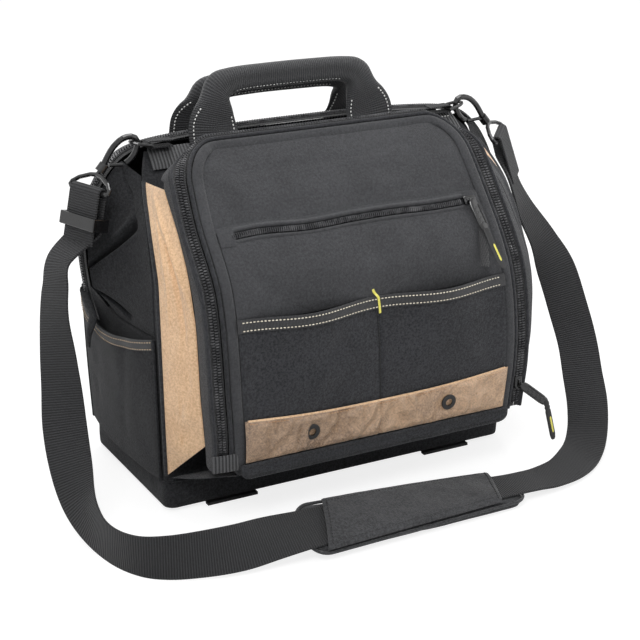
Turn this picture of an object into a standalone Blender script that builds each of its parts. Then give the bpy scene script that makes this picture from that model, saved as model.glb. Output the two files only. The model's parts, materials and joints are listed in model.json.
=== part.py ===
"""A soft sided tool carrier with a dome mouth and a front compartment.

The body stands on a stiff base, leans in to a zipped ridge, and carries a
front compartment whose door folds down. The frame is +Z up, with its origin
at the centre of the base's underside and the front facing -Y.
"""
import math

import bmesh
import bpy
from mathutils import Matrix, Vector

# Cloth, webbing and the gaps between pieces
CLEARANCE = 0.0004
WALL = 0.0026
PANEL = 0.0020
WEBBING = 0.0022
TAPE = 0.0012

# Body's main sizes
BODY_HALF_DEPTH = 0.088
BODY_HALF_WIDTH = 0.176
RIDGE_HEIGHT = 0.3075

# Base
BASE_MARGIN = 0.004
BASE_WIDTH = 2 * (BODY_HALF_WIDTH - BASE_MARGIN)
BASE_DEPTH = 2 * (BODY_HALF_DEPTH - BASE_MARGIN)
BASE_HEIGHT = 0.027
BASE_CORNER = 0.010
TRAY_WALL = 0.0030
BOARD = 0.0045
FOOT_HEIGHT = 0.003
FOOT_WIDTH = 0.048
FOOT_SPREAD = 0.110
FOOT_PROUD = 0.0015
FOOT_GROOVE = 0.004
FOOT_GROOVE_DEPTH = 0.0016
FOOT_PITCH = 0.012

# Body
APEX_OVERHANG = 0.030
APEX_HALF_WIDTH = BODY_HALF_WIDTH + APEX_OVERHANG
SIDE_SPLIT_SHARE = 0.51382
SIDE_SPLIT = RIDGE_HEIGHT * SIDE_SPLIT_SHARE
WALL_DROP = 0.0085
WALL_TOP = RIDGE_HEIGHT - WALL_DROP
SIDE_DROP = 0.0245
SIDE_TOP = RIDGE_HEIGHT - SIDE_DROP
SIDE_BULGE = 0.006
PLEAT_DEPTH = 0.008
TAPE_HALF = 0.0100
MOUTH_GAP = 0.0010
CHAIN_HALF = 0.0028
CHAIN_RISE = 0.0014
BAND_DROP = 0.0110
BAND_MARGIN = 0.026
BAND_HALF_WIDTH = BODY_HALF_WIDTH - BAND_MARGIN
BAND_CURL = 0.0016
# height share of the ridge, reach share of the half depth
REACH_SHARES = ((0.0, 0.955), (0.32, 1.0), (0.60, 1.0), (0.70, 0.97), (0.81, 0.78),
                (0.915, 0.41), (0.973, 0.165), (1.0, 0.06))
# height share of the ridge, half width share of the body's half width
SPREAD_SHARES = ((0.0, 0.977), (0.32, 0.995), (0.70, 1.0), (0.81, 0.985), (0.92, 0.925), (1.0, 0.83))
# half width share of the apex, height share of the ridge, along one half of the zipper
DOME_SHARES = ((0.955, 0.505), (0.985, 0.60), (1.0, 0.71), (0.985, 0.79), (0.935, 0.87),
               (0.865, 0.935), (0.76, 0.975), (0.55, 0.992), (0.27, 0.999), (0.0, 1.0))

# Zipper end tabs at the two sides
END_TAB_WIDTH = 0.018
END_TAB_LENGTH = 0.052
END_TAB_TILT = 0.20
END_TAB_FREE_SHARE = 0.5

# Side pockets
POCKET_DROP = 0.0006
POCKET_TOP = SIDE_SPLIT - POCKET_DROP
POCKET_SWELL = 0.0100
POCKET_SAG = 0.012
BINDING = 0.0012

# Front compartment and its door
DOOR_BOTTOM = 0.046
DOOR_RISE = 0.005
DOOR_TOP = RIDGE_HEIGHT + DOOR_RISE
COMPARTMENT_DEPTH = 0.057
DOOR_REACH = BODY_HALF_DEPTH + COMPARTMENT_DEPTH
DOOR_MARGIN = 0.038
DOOR_HALF_WIDTH = BODY_HALF_WIDTH - DOOR_MARGIN
DOOR_CORNER = 0.030
DOOR_FOOT_CORNER = 0.008
DOOR = 0.0036
DOOR_REACH_SHARES = ((0.146, 0.962), (0.32, 1.0), (0.60, 0.980), (0.70, 0.925), (0.82, 0.755),
                     (0.94, 0.560), (1.0, 0.430))
DOOR_SPREAD_SHARES = ((0.146, 0.978), (0.25, 0.986), (0.38, 1.0), (0.56, 0.993), (0.70, 0.971), (0.82, 0.967),
                      (0.91, 0.950), (1.0, 0.945))
# how far the slack door leans to the left at a height, as a share of DOOR_LEAN
DOOR_LEAN = 0.0095
DOOR_LEAN_SHARES = ((0.146, -0.21), (0.38, -0.10), (0.56, 0.21), (0.70, 0.74), (0.82, 1.0), (1.0, 1.0))
TAPE_TURN = 1.31
PIPING_RADIUS = 0.0019
DOOR_TAPE_WIDTH = 0.0046
FRAME_TAPE_WIDTH = 0.0046
DOOR_TAPE_DEEP = 0.0030
GUSSET_GAP = 0.0016
OUTLINE_STEP = 0.034
OUTLINE_TURN_SHARE = 0.20
RIGHT_BULGE = 0.018
GUSSET_BACK = 0.0060
GUSSET_DROP = 0.0265
GUSSET_TOP = DOOR_TOP - GUSSET_DROP
# reach and half width of the line where the black gusset meets the tan one
SEAM_REACH_SHARES = ((0.19, 0.845), (0.40, 0.850), (0.62, 0.835), (0.80, 0.700), (0.90, 0.480))
SEAM_SPREAD = 0.012
TAN_CORNER_FOOT = 0.036
TAN_SEAM_FOOT = 0.072
TAN_DROP = 0.0325
TAN_TOP = DOOR_TOP - TAN_DROP

# Pockets on the door
ZIP_LINE_SHARE = 0.7888
ZIP_LINE = DOOR_TOP * ZIP_LINE_SHARE
ZIP_HALF = 0.0036
ZIP_POCKET_RISE = 0.0026
TRIM_LINE_SHARE = 0.5904
TRIM_LINE = DOOR_TOP * TRIM_LINE_SHARE
TRIM_WIDTH = 0.0105
TRIM_SAG = 0.001
TRIM_PROUD = 0.015
TOOL_POCKET_FOOT = 0.056
TOOL_POCKET_MOUTH = 0.0120
POCKET_MARGIN = 0.0030
STRIP_TOP = 0.0965
STRIP_FOOT = 0.0610
STRIP_DIP = 0.006
BOTTOM_BINDING = 0.0146
EYELET_SPREAD = 0.0675
EYELET_HEIGHT = 0.0787
EYELET_OUTER = 0.0072
EYELET_HOLE = 0.0034
EYELET_RISE = 0.0012

# Interior
DIVIDER_SHARE = 0.61789
DIVIDER_TOP = RIDGE_HEIGHT * DIVIDER_SHARE
DIVIDER_PLACE = 0.020
DIVIDER_MARGIN = 0.010

# Handles
HANDLE_PLACE = -0.015
HANDLE_HALF_SPAN = 0.076
HANDLE_SEAT = 0.0028
HANDLE_FOOT = WALL_TOP - HANDLE_SEAT
HANDLE_FOOT_REACH = 0.0244
HANDLE_RISES = {-1: 0.0548, 1: 0.0468}
HANDLE_TOP_REACH = 0.0088
HANDLE_WEB_HALF = 0.0225
HANDLE_GRIP_HALF = 0.0104
HANDLE_GRIP_THICKNESS = 0.0150
HANDLE_SHOULDER = 0.020
HANDLE_CORNER = 0.020
HANDLE_PEAK = 0.005
GRIP_SIDES = 12

# Sliders and pulls
SLIDER_LENGTH = 0.0120
SLIDER_WIDTH = 0.0075
SLIDER_HEIGHT = 0.0030
PULL_LENGTH = 0.030
PULL_WIDTH = 0.0085
PULL_THICKNESS = 0.0020
PULL_TAIL = 0.037
PULL_TAIL_WIDTH = 0.0065
POCKET_SLIDER_PLACE = 0.1132
DOOR_SLIDER_HEIGHT = 0.0790
MAIN_SLIDER_SHARE = 0.64065
MAIN_SLIDER_HEIGHT = RIDGE_HEIGHT * MAIN_SLIDER_SHARE

# Snap hooks, rings and the shoulder strap
RING_BAR_INSETS = {"left": 0.0, "right": 0.007}
RING_BAR_RISE = 0.0069
RING_BAR_HEIGHT = WALL_TOP + RING_BAR_RISE
RING_DEPTH_PLACE = -0.0185
RING_WIRE = 0.0015
RING_HALF_WIDTH = 0.0078
RING_REACH = 0.0160
RING_LIFT = 0.0035
RING_TAB_HALF = 0.0055
RING_TAB_SKIN = 0.0012
RING_TAB_LENGTH = 0.020
HOOK_WIRE = 0.0026
HOOK_SEAT = 0.0360
HOOK_WIDTH = 0.0165
HOOK_BARREL = 0.0042
GATE_WIRE = 0.0016
SWIVEL_PIN = 0.0016
SWIVEL_WIRE = 0.0019
SWIVEL_DROP = 0.0150
STRAP_WIDTH = 0.038
STRAP = 0.0020
STRAP_FOLD = 0.0036
STRAP_TAIL = 0.044
STRAP_STEP = 0.0080
ADJUSTER_WIDTH = 0.0445
ADJUSTER_DEPTH = 0.0166
ADJUSTER_LENGTH = 0.011
ADJUSTER_RIM = 0.0018
ADJUSTER_DROP = 0.026
PAD_LENGTH = 0.214
PAD_HEIGHT = 0.052
PAD_THICKNESS = 0.0090
PAD_SLEEVE_LENGTH = 0.172
PAD_SLEEVE = 0.0026
PAD_CENTRE = 0.004
PAD_GAP = 0.0854
PAD_LINE = -DOOR_REACH - PAD_GAP
STRAP_REST = 0.0185
# the pad leans back on its lower edge: share of its length from its centre, radians
PAD_LEANS = ((-0.5, 1.05), (0.0, 1.31), (0.5, 1.57))
PAD_SLICE_SHARES = (-1.0, -0.985, -0.94, -0.87, -0.75, -0.6, -0.45, -0.3, -0.15, 0.0, 0.15, 0.3, 0.45, 0.6,
                    0.75, 0.87, 0.94, 0.985, 1.0)

FINISHES = {
    "black_fabric": ((0.050, 0.051, 0.055, 1.0), 0.85, 0.0),
    "black_webbing": ((0.040, 0.041, 0.044, 1.0), 0.78, 0.0),
    "tan_fabric": ((0.62, 0.40, 0.23, 1.0), 0.75, 0.0),
    "black_plastic": ((0.020, 0.020, 0.022, 1.0), 0.38, 0.0),
    "black_enamel": ((0.018, 0.018, 0.020, 1.0), 0.30, 0.7),
    "black_rubber": ((0.030, 0.030, 0.032, 1.0), 0.70, 0.0),
    "grey_board": ((0.16, 0.16, 0.16, 1.0), 0.65, 0.0),
}


# Scene and collections

def clear_scene():
    for thing in list(bpy.data.objects):
        bpy.data.objects.remove(thing, do_unlink=True)


def new_collection(name):
    group = bpy.data.collections.new(name)
    bpy.context.scene.collection.children.link(group)
    return group


clear_scene()
PARTS = new_collection("tool_carrier")
CUTTERS = new_collection("construction")


def finish_for(name, finish):
    colour, roughness, metallic = FINISHES[finish]
    material = bpy.data.materials.new(name + "_finish")
    material.use_nodes = True
    shader = material.node_tree.nodes["Principled BSDF"]
    shader.inputs["Base Color"].default_value = colour
    shader.inputs["Roughness"].default_value = roughness
    shader.inputs["Metallic"].default_value = metallic
    material.diffuse_color = colour
    return material


def add_object(name, data, finish):
    thing = bpy.data.objects.new(name, data)
    PARTS.objects.link(thing)
    data.materials.append(finish_for(name, finish))
    return thing


def as_cutter(thing):
    for group in list(thing.users_collection):
        group.objects.unlink(thing)
    CUTTERS.objects.link(thing)
    thing.hide_render = True
    thing.display_type = "WIRE"


def boolean(thing, cutter, operation):
    modifier = thing.modifiers.new(operation.lower() + "_" + cutter.name, "BOOLEAN")
    modifier.operation = operation
    modifier.object = cutter
    as_cutter(cutter)


def origin_at(names, point):
    """Put the objects' origins on their joint and leave their shapes where they are."""
    for name in names:
        thing = bpy.data.objects[name]
        thing.data.transform(Matrix.Translation(thing.location - point))
        thing.location = point


# Interpolation

def along(table, key):
    """A smooth value from rows of (key, value), level at the two ends."""
    if key <= table[0][0]:
        return table[0][1]
    if key >= table[-1][0]:
        return table[-1][1]
    index = max(i for i in range(len(table) - 1) if table[i][0] <= key)
    before = table[max(index - 1, 0)]
    start = table[index]
    stop = table[index + 1]
    after = table[min(index + 2, len(table) - 1)]
    span = stop[0] - start[0]
    step = (key - start[0]) / span
    rise_in = (stop[1] - before[1]) / (stop[0] - before[0]) * span
    rise_out = (after[1] - start[1]) / (after[0] - start[0]) * span
    square = step * step
    cube = square * step
    return ((2 * cube - 3 * square + 1) * start[1] + (cube - 2 * square + step) * rise_in
            + (3 * square - 2 * cube) * stop[1] + (cube - square) * rise_out)


def spline(points, share):
    """A point on a smooth curve through the points, by share of their number."""
    place = min(max(share, 0.0), 1.0) * (len(points) - 1)
    index = min(int(place), len(points) - 2)
    step = place - index
    before = points[max(index - 1, 0)]
    start = points[index]
    stop = points[index + 1]
    after = points[min(index + 2, len(points) - 1)]
    square = step * step
    cube = square * step
    return (start * (2 * cube - 3 * square + 1) + (stop - before) * (cube - 2 * square + step) / 2
            + stop * (3 * square - 2 * cube) + (after - start) * (cube - square) / 2)


def even_spline(points, spacing):
    """Points at about even spacing along the smooth curve."""
    fine_count = 24 * len(points)
    fine = [spline(points, i / fine_count) for i in range(fine_count + 1)]
    lengths = [0.0]
    for i in range(fine_count):
        lengths.append(lengths[-1] + (fine[i + 1] - fine[i]).length)
    count = max(2, round(lengths[-1] / spacing))
    places = []
    index = 0
    for i in range(count + 1):
        target = lengths[-1] * i / count
        while index < fine_count - 1 and lengths[index + 1] < target:
            index += 1
        part = (target - lengths[index]) / max(lengths[index + 1] - lengths[index], 1e-12)
        places.append(fine[index].lerp(fine[index + 1], min(max(part, 0.0), 1.0)))
    return places


# Solids

def sheet(name, shape, columns, rows, thickness, finish, sink=True, closed=False):
    """A cloth panel: a grid laid over shape(u, v), given its thickness."""
    bm = bmesh.new()
    bmesh.ops.create_grid(bm, x_segments=columns, y_segments=rows, size=0.5)
    for vertex in bm.verts:
        vertex.co = shape(vertex.co.x + 0.5, vertex.co.y + 0.5)
    if closed:
        bmesh.ops.remove_doubles(bm, verts=bm.verts, dist=CLEARANCE / 10)
    mesh = bpy.data.meshes.new(name)
    bm.to_mesh(mesh)
    bm.free()
    mesh.shade_smooth()
    thing = add_object(name, mesh, finish)
    solid = thing.modifiers.new("cloth", "SOLIDIFY")
    solid.thickness = thickness
    solid.offset = -1.0 if sink else 1.0
    return thing


def loft(name, rings, finish, smooth=True):
    """A closed solid through rings of points, with flat ends."""
    bm = bmesh.new()
    loops = [[bm.verts.new(point) for point in ring] for ring in rings]
    count = len(loops[0])
    for lower, upper in zip(loops, loops[1:]):
        for i in range(count):
            j = (i + 1) % count
            bm.faces.new((lower[i], lower[j], upper[j], upper[i]))
    bm.faces.new(list(reversed(loops[0])))
    bm.faces.new(loops[-1])
    bmesh.ops.recalc_face_normals(bm, faces=bm.faces)
    mesh = bpy.data.meshes.new(name)
    bm.to_mesh(mesh)
    bm.free()
    if smooth:
        mesh.shade_smooth()
        mesh.set_sharp_from_angle(angle=math.radians(40))
    return add_object(name, mesh, finish)


def box(name, size, centre, finish, bevel=0.0, turn=None):
    bm = bmesh.new()
    bmesh.ops.create_cube(bm, size=1.0)
    bmesh.ops.scale(bm, vec=size, verts=bm.verts)
    mesh = bpy.data.meshes.new(name)
    bm.to_mesh(mesh)
    bm.free()
    thing = add_object(name, mesh, finish)
    frame = turn.to_4x4() if turn else Matrix.Identity(4)
    thing.matrix_world = Matrix.Translation(centre) @ frame
    if bevel:
        edge = thing.modifiers.new("edge", "BEVEL")
        edge.width = bevel
        edge.segments = 2
    return thing


def tube(name, points, radius, finish, cyclic=False, sides=2):
    data = bpy.data.curves.new(name, "CURVE")
    data.dimensions = "3D"
    data.bevel_depth = radius
    data.bevel_resolution = sides
    data.use_fill_caps = not cyclic
    line = data.splines.new("POLY")
    line.points.add(len(points) - 1)
    for slot, point in zip(line.points, points):
        slot.co = (*point, 1.0)
    line.use_cyclic_u = cyclic
    return add_object(name, data, finish)


def tube_mesh(name, points, radius, finish, cyclic=False, sides=2):
    """The same tube as a mesh, for pieces that are joined to another shape."""
    wire = tube(name + "_wire", points, radius, finish, cyclic, sides)
    graph = bpy.context.evaluated_depsgraph_get()
    mesh = bpy.data.meshes.new_from_object(wire.evaluated_get(graph))
    bm = bmesh.new()
    bm.from_mesh(mesh)
    bmesh.ops.remove_doubles(bm, verts=bm.verts, dist=CLEARANCE / 10)
    bm.to_mesh(mesh)
    bm.free()
    mesh.name = name
    mesh.materials.clear()
    thing = add_object(name, mesh, finish)
    thing.matrix_world = wire.matrix_world
    bpy.data.objects.remove(wire, do_unlink=True)
    return thing


def cylinder_between(name, start, stop, radius, finish, segments=20):
    bm = bmesh.new()
    bmesh.ops.create_cone(bm, cap_ends=True, segments=segments, radius1=radius, radius2=radius,
                          depth=(stop - start).length)
    mesh = bpy.data.meshes.new(name)
    bm.to_mesh(mesh)
    bm.free()
    thing = add_object(name, mesh, finish)
    turn = Vector((0, 0, 1)).rotation_difference(stop - start).to_matrix().to_4x4()
    thing.matrix_world = Matrix.Translation((start + stop) / 2) @ turn
    return thing


def ring_turned(name, hole, outer, height, finish):
    """A flat ring with a rounded outer edge, turned round Z."""
    mesh = bpy.data.meshes.new(name)
    rim = height / 3
    profile = [(outer, height - rim), (outer, 0), (hole, 0), (hole, height), (outer - rim, height)]
    bm = bmesh.new()
    corners = [bm.verts.new((reach, 0, level)) for reach, level in profile]
    for i, corner in enumerate(corners):
        bm.edges.new((corner, corners[(i + 1) % len(corners)]))
    bm.to_mesh(mesh)
    bm.free()
    thing = add_object(name, mesh, finish)
    turned = thing.modifiers.new("turned", "SCREW")
    turned.steps = 24
    turned.render_steps = 24
    turned.use_merge_vertices = True
    turned.merge_threshold = CLEARANCE / 10
    return thing


# The body's outer form

def wall_reach(height):
    return BODY_HALF_DEPTH * along(REACH_SHARES, height / RIDGE_HEIGHT)


def wall_spread(height):
    return BODY_HALF_WIDTH * along(SPREAD_SHARES, height / RIDGE_HEIGHT)


def wall_slope(height):
    """How the wall leans in at a height: its inward and upward shares along its own surface."""
    step = WALL
    inward = wall_reach(height - step) - wall_reach(height)
    along_wall = math.hypot(inward, step)
    return inward / along_wall, step / along_wall


DOME_POINTS = [Vector((APEX_HALF_WIDTH * across, 0, RIDGE_HEIGHT * up)) for across, up in DOME_SHARES]
HALF_DOME = even_spline(DOME_POINTS, WALL)


def dome(share):
    """The zipper's line over the whole mouth, from -X over the ridge to +X."""
    mirrored = share > 0.5
    place = (1 - abs(2 * share - 1)) * (len(HALF_DOME) - 1)
    index = min(int(place), len(HALF_DOME) - 2)
    point = HALF_DOME[index].lerp(HALF_DOME[index + 1], place - index)
    return Vector((point.x if mirrored else -point.x, 0, point.z))


def dome_outward(share):
    step_share = 1 / len(HALF_DOME)
    run = dome(min(share + step_share, 1.0)) - dome(max(share - step_share, 0.0))
    return Vector((-run.z, 0, run.x)).normalized()


def dome_share_at(height):
    """The share along the dome where its side passes the height."""
    lower = [i for i, point in enumerate(HALF_DOME) if point.z <= height]
    return lower[-1] / (len(HALF_DOME) - 1) / 2


def wall_panel(name, facing, foot, top):
    """Front or rear wall; facing is -1 at the front and 1 at the rear."""
    def shape(u, v):
        height = foot + (top - foot) * v
        return Vector((-facing * (2 * u - 1) * wall_spread(height), facing * wall_reach(height), height))
    return sheet(name, shape, 12, 16, WALL, "black_fabric")


def lower_side(name, side):
    inset = WALL + CLEARANCE * 2

    def shape(u, v):
        height = BASE_HEIGHT + CLEARANCE + (SIDE_SPLIT - CLEARANCE - BASE_HEIGHT - CLEARANCE) * v
        across = side * (2 * u - 1)
        bulge = SIDE_BULGE * (1 - across * across) * math.sin(math.pi / 2 * min(1.0, 2 * v))
        return Vector((side * (wall_spread(height) + bulge), across * (wall_reach(height) - inset), height))
    return sheet(name, shape, 8, 6, WALL, "black_fabric")


def side_bow(across):
    return SIDE_BULGE * (1 - across * across)


def upper_side(name, side, facing):
    """One quarter of the gathered gusset, from the wall's edge to the zipper."""
    inset = WALL * 1.6
    foot = SIDE_SPLIT + CLEARANCE
    low = dome_share_at(foot + CLEARANCE)
    high = dome_share_at(SIDE_TOP + BAND_DROP)

    def shape(u, v):
        height = foot + (SIDE_TOP - foot) * v
        edge = Vector((wall_spread(height), wall_reach(height) - inset, height))
        line = dome(low + (high - low) * v)
        middle = Vector((-line.x - CLEARANCE, TAPE_HALF + CLEARANCE, line.z))
        point = edge.lerp(middle, u)
        ease = (1 - v) * (1 - v)
        flat = wall_spread(height) + side_bow(1 - u)
        point.x += (flat - point.x) * max(0.0, 1 - 5 * v)
        point.x -= PLEAT_DEPTH * math.sin(math.pi * u) * math.sin(math.pi * v) * (1 - ease / 2)
        return Vector((side * point.x, facing * point.y, point.z))
    return sheet(name, shape, 6, 8, WALL, "black_fabric", sink=side * facing < 0)


def zip_tape(name, facing):
    def shape(u, v):
        place = dome(u)
        gap = MOUTH_GAP / 2
        depth = gap + (TAPE_HALF - gap) * v
        rise = CHAIN_RISE if depth < CHAIN_HALF else 0.0
        return place + dome_outward(u) * (TAPE + rise) + Vector((0, facing * depth, 0))
    return sheet(name, shape, 40, 3, TAPE, "black_fabric", sink=facing > 0)


def ridge_band(name, facing):
    """Ribbed webbing sewn along the wall's top edge, under the zipper."""
    def shape(u, v):
        height = WALL_TOP - BAND_DROP + (BAND_DROP + BAND_CURL) * v
        seated = min(height, WALL_TOP)
        beyond = height - seated
        fall, rise = wall_slope(seated)
        lift = WEBBING + CLEARANCE
        reach = wall_reach(seated) + rise * lift - fall * beyond
        level = seated + fall * lift + rise * beyond
        return Vector((-facing * (2 * u - 1) * BAND_HALF_WIDTH, facing * reach, level))
    return sheet(name, shape, 10, 2, WEBBING, "black_webbing")


def dome_spread(height):
    """Half width of the zipper's line at a height on its side run."""
    below = [point for point in HALF_DOME if point.z <= height] or [HALF_DOME[0]]
    return below[-1].x


def end_tab(name, side):
    """The free end of the zipper, hanging down the side in a sewn tab."""
    foot = HALF_DOME[0].z
    lift = TAPE + CHAIN_RISE + CLEARANCE * 2 + WEBBING

    def shape(u, v):
        height = foot + END_TAB_LENGTH * (v - END_TAB_FREE_SHARE)
        hang = max(0.0, foot - height)
        tip = 1 - 0.35 * hang / END_TAB_LENGTH
        reach = dome_spread(height) + lift + END_TAB_TILT * hang
        return Vector((side * reach, side * (2 * u - 1) * END_TAB_WIDTH / 2 * tip, height))
    return sheet(name, shape, 4, 8, WEBBING, "black_webbing")


def side_pocket(name, side):
    margin = WALL * 2
    foot = BASE_HEIGHT + CLEARANCE * 3

    def shape(u, v):
        across = side * (2 * u - 1)
        sag = POCKET_SAG * (1 - across * across)
        height = foot + (POCKET_TOP - sag - foot) * v
        rest = wall_spread(height) + side_bow(across) + PANEL + CLEARANCE * 2
        swell = POCKET_SWELL * (1 - across * across) * v * v
        return Vector((side * (rest + swell), across * (wall_reach(height) - margin), height))
    return sheet(name, shape, 8, 6, PANEL, "black_fabric")


def build_body():
    wall_foot = BASE_HEIGHT + CLEARANCE
    wall_panel("front_wall", -1, wall_foot, WALL_TOP)
    wall_panel("rear_wall", 1, wall_foot, WALL_TOP)
    for word, side in (("left", -1), ("right", 1)):
        lower_side("lower_side_" + word, side)
        upper_side("front_gusset_" + word, side, -1)
        upper_side("rear_gusset_" + word, side, 1)
        side_pocket("side_pocket_" + word, side)
        end_tab("zip_end_tab_" + word, side)
    zip_tape("front_zip_tape", -1)
    zip_tape("rear_zip_tape", 1)
    ridge_band("front_band", -1)
    ridge_band("rear_band", 1)


# The base

def rounded_rectangle(width, depth, corner, level, steps=4):
    ring = []
    for turn, (side, facing) in enumerate(((1, 1), (-1, 1), (-1, -1), (1, -1))):
        for i in range(steps + 1):
            angle = math.pi / 2 * (turn + i / steps)
            ring.append(Vector((side * (width / 2 - corner) + corner * math.cos(angle),
                                facing * (depth / 2 - corner) + corner * math.sin(angle), level)))
    return ring


def build_base():
    inner_width = BASE_WIDTH - 2 * TRAY_WALL
    inner_depth = BASE_DEPTH - 2 * TRAY_WALL
    inner_corner = BASE_CORNER - TRAY_WALL
    tray = loft("base_tray", [rounded_rectangle(BASE_WIDTH, BASE_DEPTH, BASE_CORNER, level)
                              for level in (0, BASE_HEIGHT)], "black_fabric")
    cutter = loft("tray_hollow", [rounded_rectangle(inner_width, inner_depth, inner_corner, level)
                                  for level in (TRAY_WALL, BASE_HEIGHT + TRAY_WALL)], "black_fabric")
    boolean(tray, cutter, "DIFFERENCE")
    board_top = TRAY_WALL + CLEARANCE + BOARD
    trim = 2 * CLEARANCE
    loft("base_board", [rounded_rectangle(inner_width - trim, inner_depth - trim, inner_corner, level)
                        for level in (TRAY_WALL + CLEARANCE, board_top)], "grey_board")
    for end, side in (("left", -1), ("right", 1)):
        build_foot("foot_" + end, side)


def build_foot(name, side):
    """A ribbed rubber runner under the base, from front to rear."""
    length = BASE_DEPTH + 2 * FOOT_PROUD
    height = FOOT_HEIGHT - CLEARANCE
    place = Vector((side * FOOT_SPREAD, 0, -CLEARANCE - height / 2))
    foot = box(name, (FOOT_WIDTH, length, height), place, "black_rubber")
    count = round(length / FOOT_PITCH)
    cuts = new_collection(name + "_grooves")
    for i in range(count):
        shift = Vector((0, (i + 0.5) * FOOT_PITCH - count * FOOT_PITCH / 2, -height / 2))
        groove = box(name + "_groove_" + str(i), (FOOT_WIDTH * 1.2, FOOT_GROOVE, FOOT_GROOVE_DEPTH * 2),
                     place + shift, "black_rubber")
        as_cutter(groove)
        CUTTERS.objects.unlink(groove)
        cuts.objects.link(groove)
    modifier = foot.modifiers.new("grooves", "BOOLEAN")
    modifier.operation = "DIFFERENCE"
    modifier.operand_type = "COLLECTION"
    modifier.collection = cuts


# The front compartment

def door_reach(height):
    return DOOR_REACH * along(DOOR_REACH_SHARES, height / DOOR_TOP)


def door_spread(height):
    """Half width of the door panel, drawn in round its corners."""
    spread = DOOR_HALF_WIDTH * along(DOOR_SPREAD_SHARES, height / DOOR_TOP)
    over = height - (DOOR_TOP - DOOR_CORNER)
    under = DOOR_BOTTOM + DOOR_FOOT_CORNER - height
    if over > 0:
        spread -= DOOR_CORNER - math.sqrt(max(DOOR_CORNER ** 2 - over ** 2, 0.0))
    if under > 0:
        spread -= DOOR_FOOT_CORNER - math.sqrt(max(DOOR_FOOT_CORNER ** 2 - under ** 2, 0.0))
    return spread


def door_normal(height):
    step = CLEARANCE * 5
    run = door_reach(height + step) - door_reach(height - step)
    return Vector((0, -2 * step, -run)).normalized()


def door_shift(height):
    return -DOOR_LEAN * along(DOOR_LEAN_SHARES, height / DOOR_TOP)


def door_point(across, height, lift=0.0):
    """A point on the door's outer face; lift is outward."""
    place = Vector((across + door_shift(height), -door_reach(height), height))
    return place + door_normal(height) * lift


def door_sheet(name, foot, top, lift, thickness, finish, columns, rows, margin=0.0):
    """A panel on the door between two heights, its outer face lifted."""
    def shape(u, v):
        across = 2 * u - 1
        low = foot(across)
        height = low + (top(across) - low) * v
        return door_point(across * (door_spread(height) - margin), height, lift(across, height, v))
    return sheet(name, shape, columns, rows, thickness, finish)


def door_edge():
    """The door's edge in its own outline, from the lower left over the top: place and run."""
    foot = DOOR_BOTTOM + DOOR_FOOT_CORNER
    shoulder = DOOR_TOP - DOOR_CORNER
    heights = [foot + (shoulder - foot) * i / 10 for i in range(11)]
    heights += [shoulder + DOOR_CORNER * math.sin(math.pi / 2 * i / 6) for i in range(1, 7)]
    side = [Vector((-door_spread(height), 0, height)) for height in heights]
    half = side + [Vector((side[-1].x * (1 - i / 4), 0, DOOR_TOP)) for i in range(1, 5)]
    line = even_spline(half + [Vector((-p.x, 0, p.z)) for p in reversed(half[:-1])], PIPING_RADIUS * 2)
    chosen = []
    travelled = OUTLINE_STEP
    heading = Vector((0, 0, 1))
    for i, point in enumerate(line):
        near, far = line[max(i - 1, 0)], line[min(i + 1, len(line) - 1)]
        run = door_point(far.x, far.z) - door_point(near.x, near.z)
        travelled += run.length / 2
        turned = (run.normalized() - heading).length
        if travelled >= OUTLINE_STEP or turned > OUTLINE_TURN_SHARE or i == len(line) - 1:
            chosen.append((point, (far - near).normalized()))
            travelled = 0.0
            heading = run.normalized()
    return chosen


def door_outline(outset, lift):
    """Points round the door's edge, set outward, and turned back over its top beyond the piping."""
    hem = 2 * PIPING_RADIUS + CLEARANCE * 4
    points = []
    for point, run in door_edge():
        slope = door_normal(point.z)
        climb = Vector((0, slope.z, -slope.y))
        outward = Vector((-run.z, 0, 0)) + climb * run.x
        over = min(1.0, max(0.0, (point.z - DOOR_TOP + DOOR_CORNER) / DOOR_CORNER))
        turn = TAPE_TURN * over * over * (3 - 2 * over)
        back = outward * math.cos(turn) - slope * math.sin(turn)
        place = door_point(point.x, point.z, lift)
        points.append(place + outward * min(outset, hem) + back * max(0.0, outset - hem))
    return points


def outline_ribbon(name, near, far, lift, thickness, finish):
    inner = door_outline(near, lift)
    outer = door_outline(far, lift)
    count = min(len(inner), len(outer))

    def shape(u, v):
        place = [Vector(line[round(u * (len(line) - 1))]) for line in (inner, outer)]
        return place[0].lerp(place[1], v)
    return sheet(name, shape, count - 1, 1, thickness, finish)


def pocket_half(across):
    """0 at the pocket's seams and 1 at the middle of each of the two pockets."""
    return math.sin(math.pi * min(abs(across), 1.0)) ** 2


def tool_pocket_lift(across, height):
    rise = max(0.0, (height - TOOL_POCKET_FOOT) / (TRIM_LINE - TOOL_POCKET_FOOT))
    seated = PANEL + CLEARANCE
    return seated + (TOOL_POCKET_MOUTH - seated) * pocket_half(across) * rise * rise


def trim_top(across):
    return TRIM_LINE + TRIM_SAG * math.cos(2 * math.pi * across)


def strip_lift(across, height):
    return tool_pocket_lift(across, height) + PANEL + CLEARANCE * 2


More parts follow.
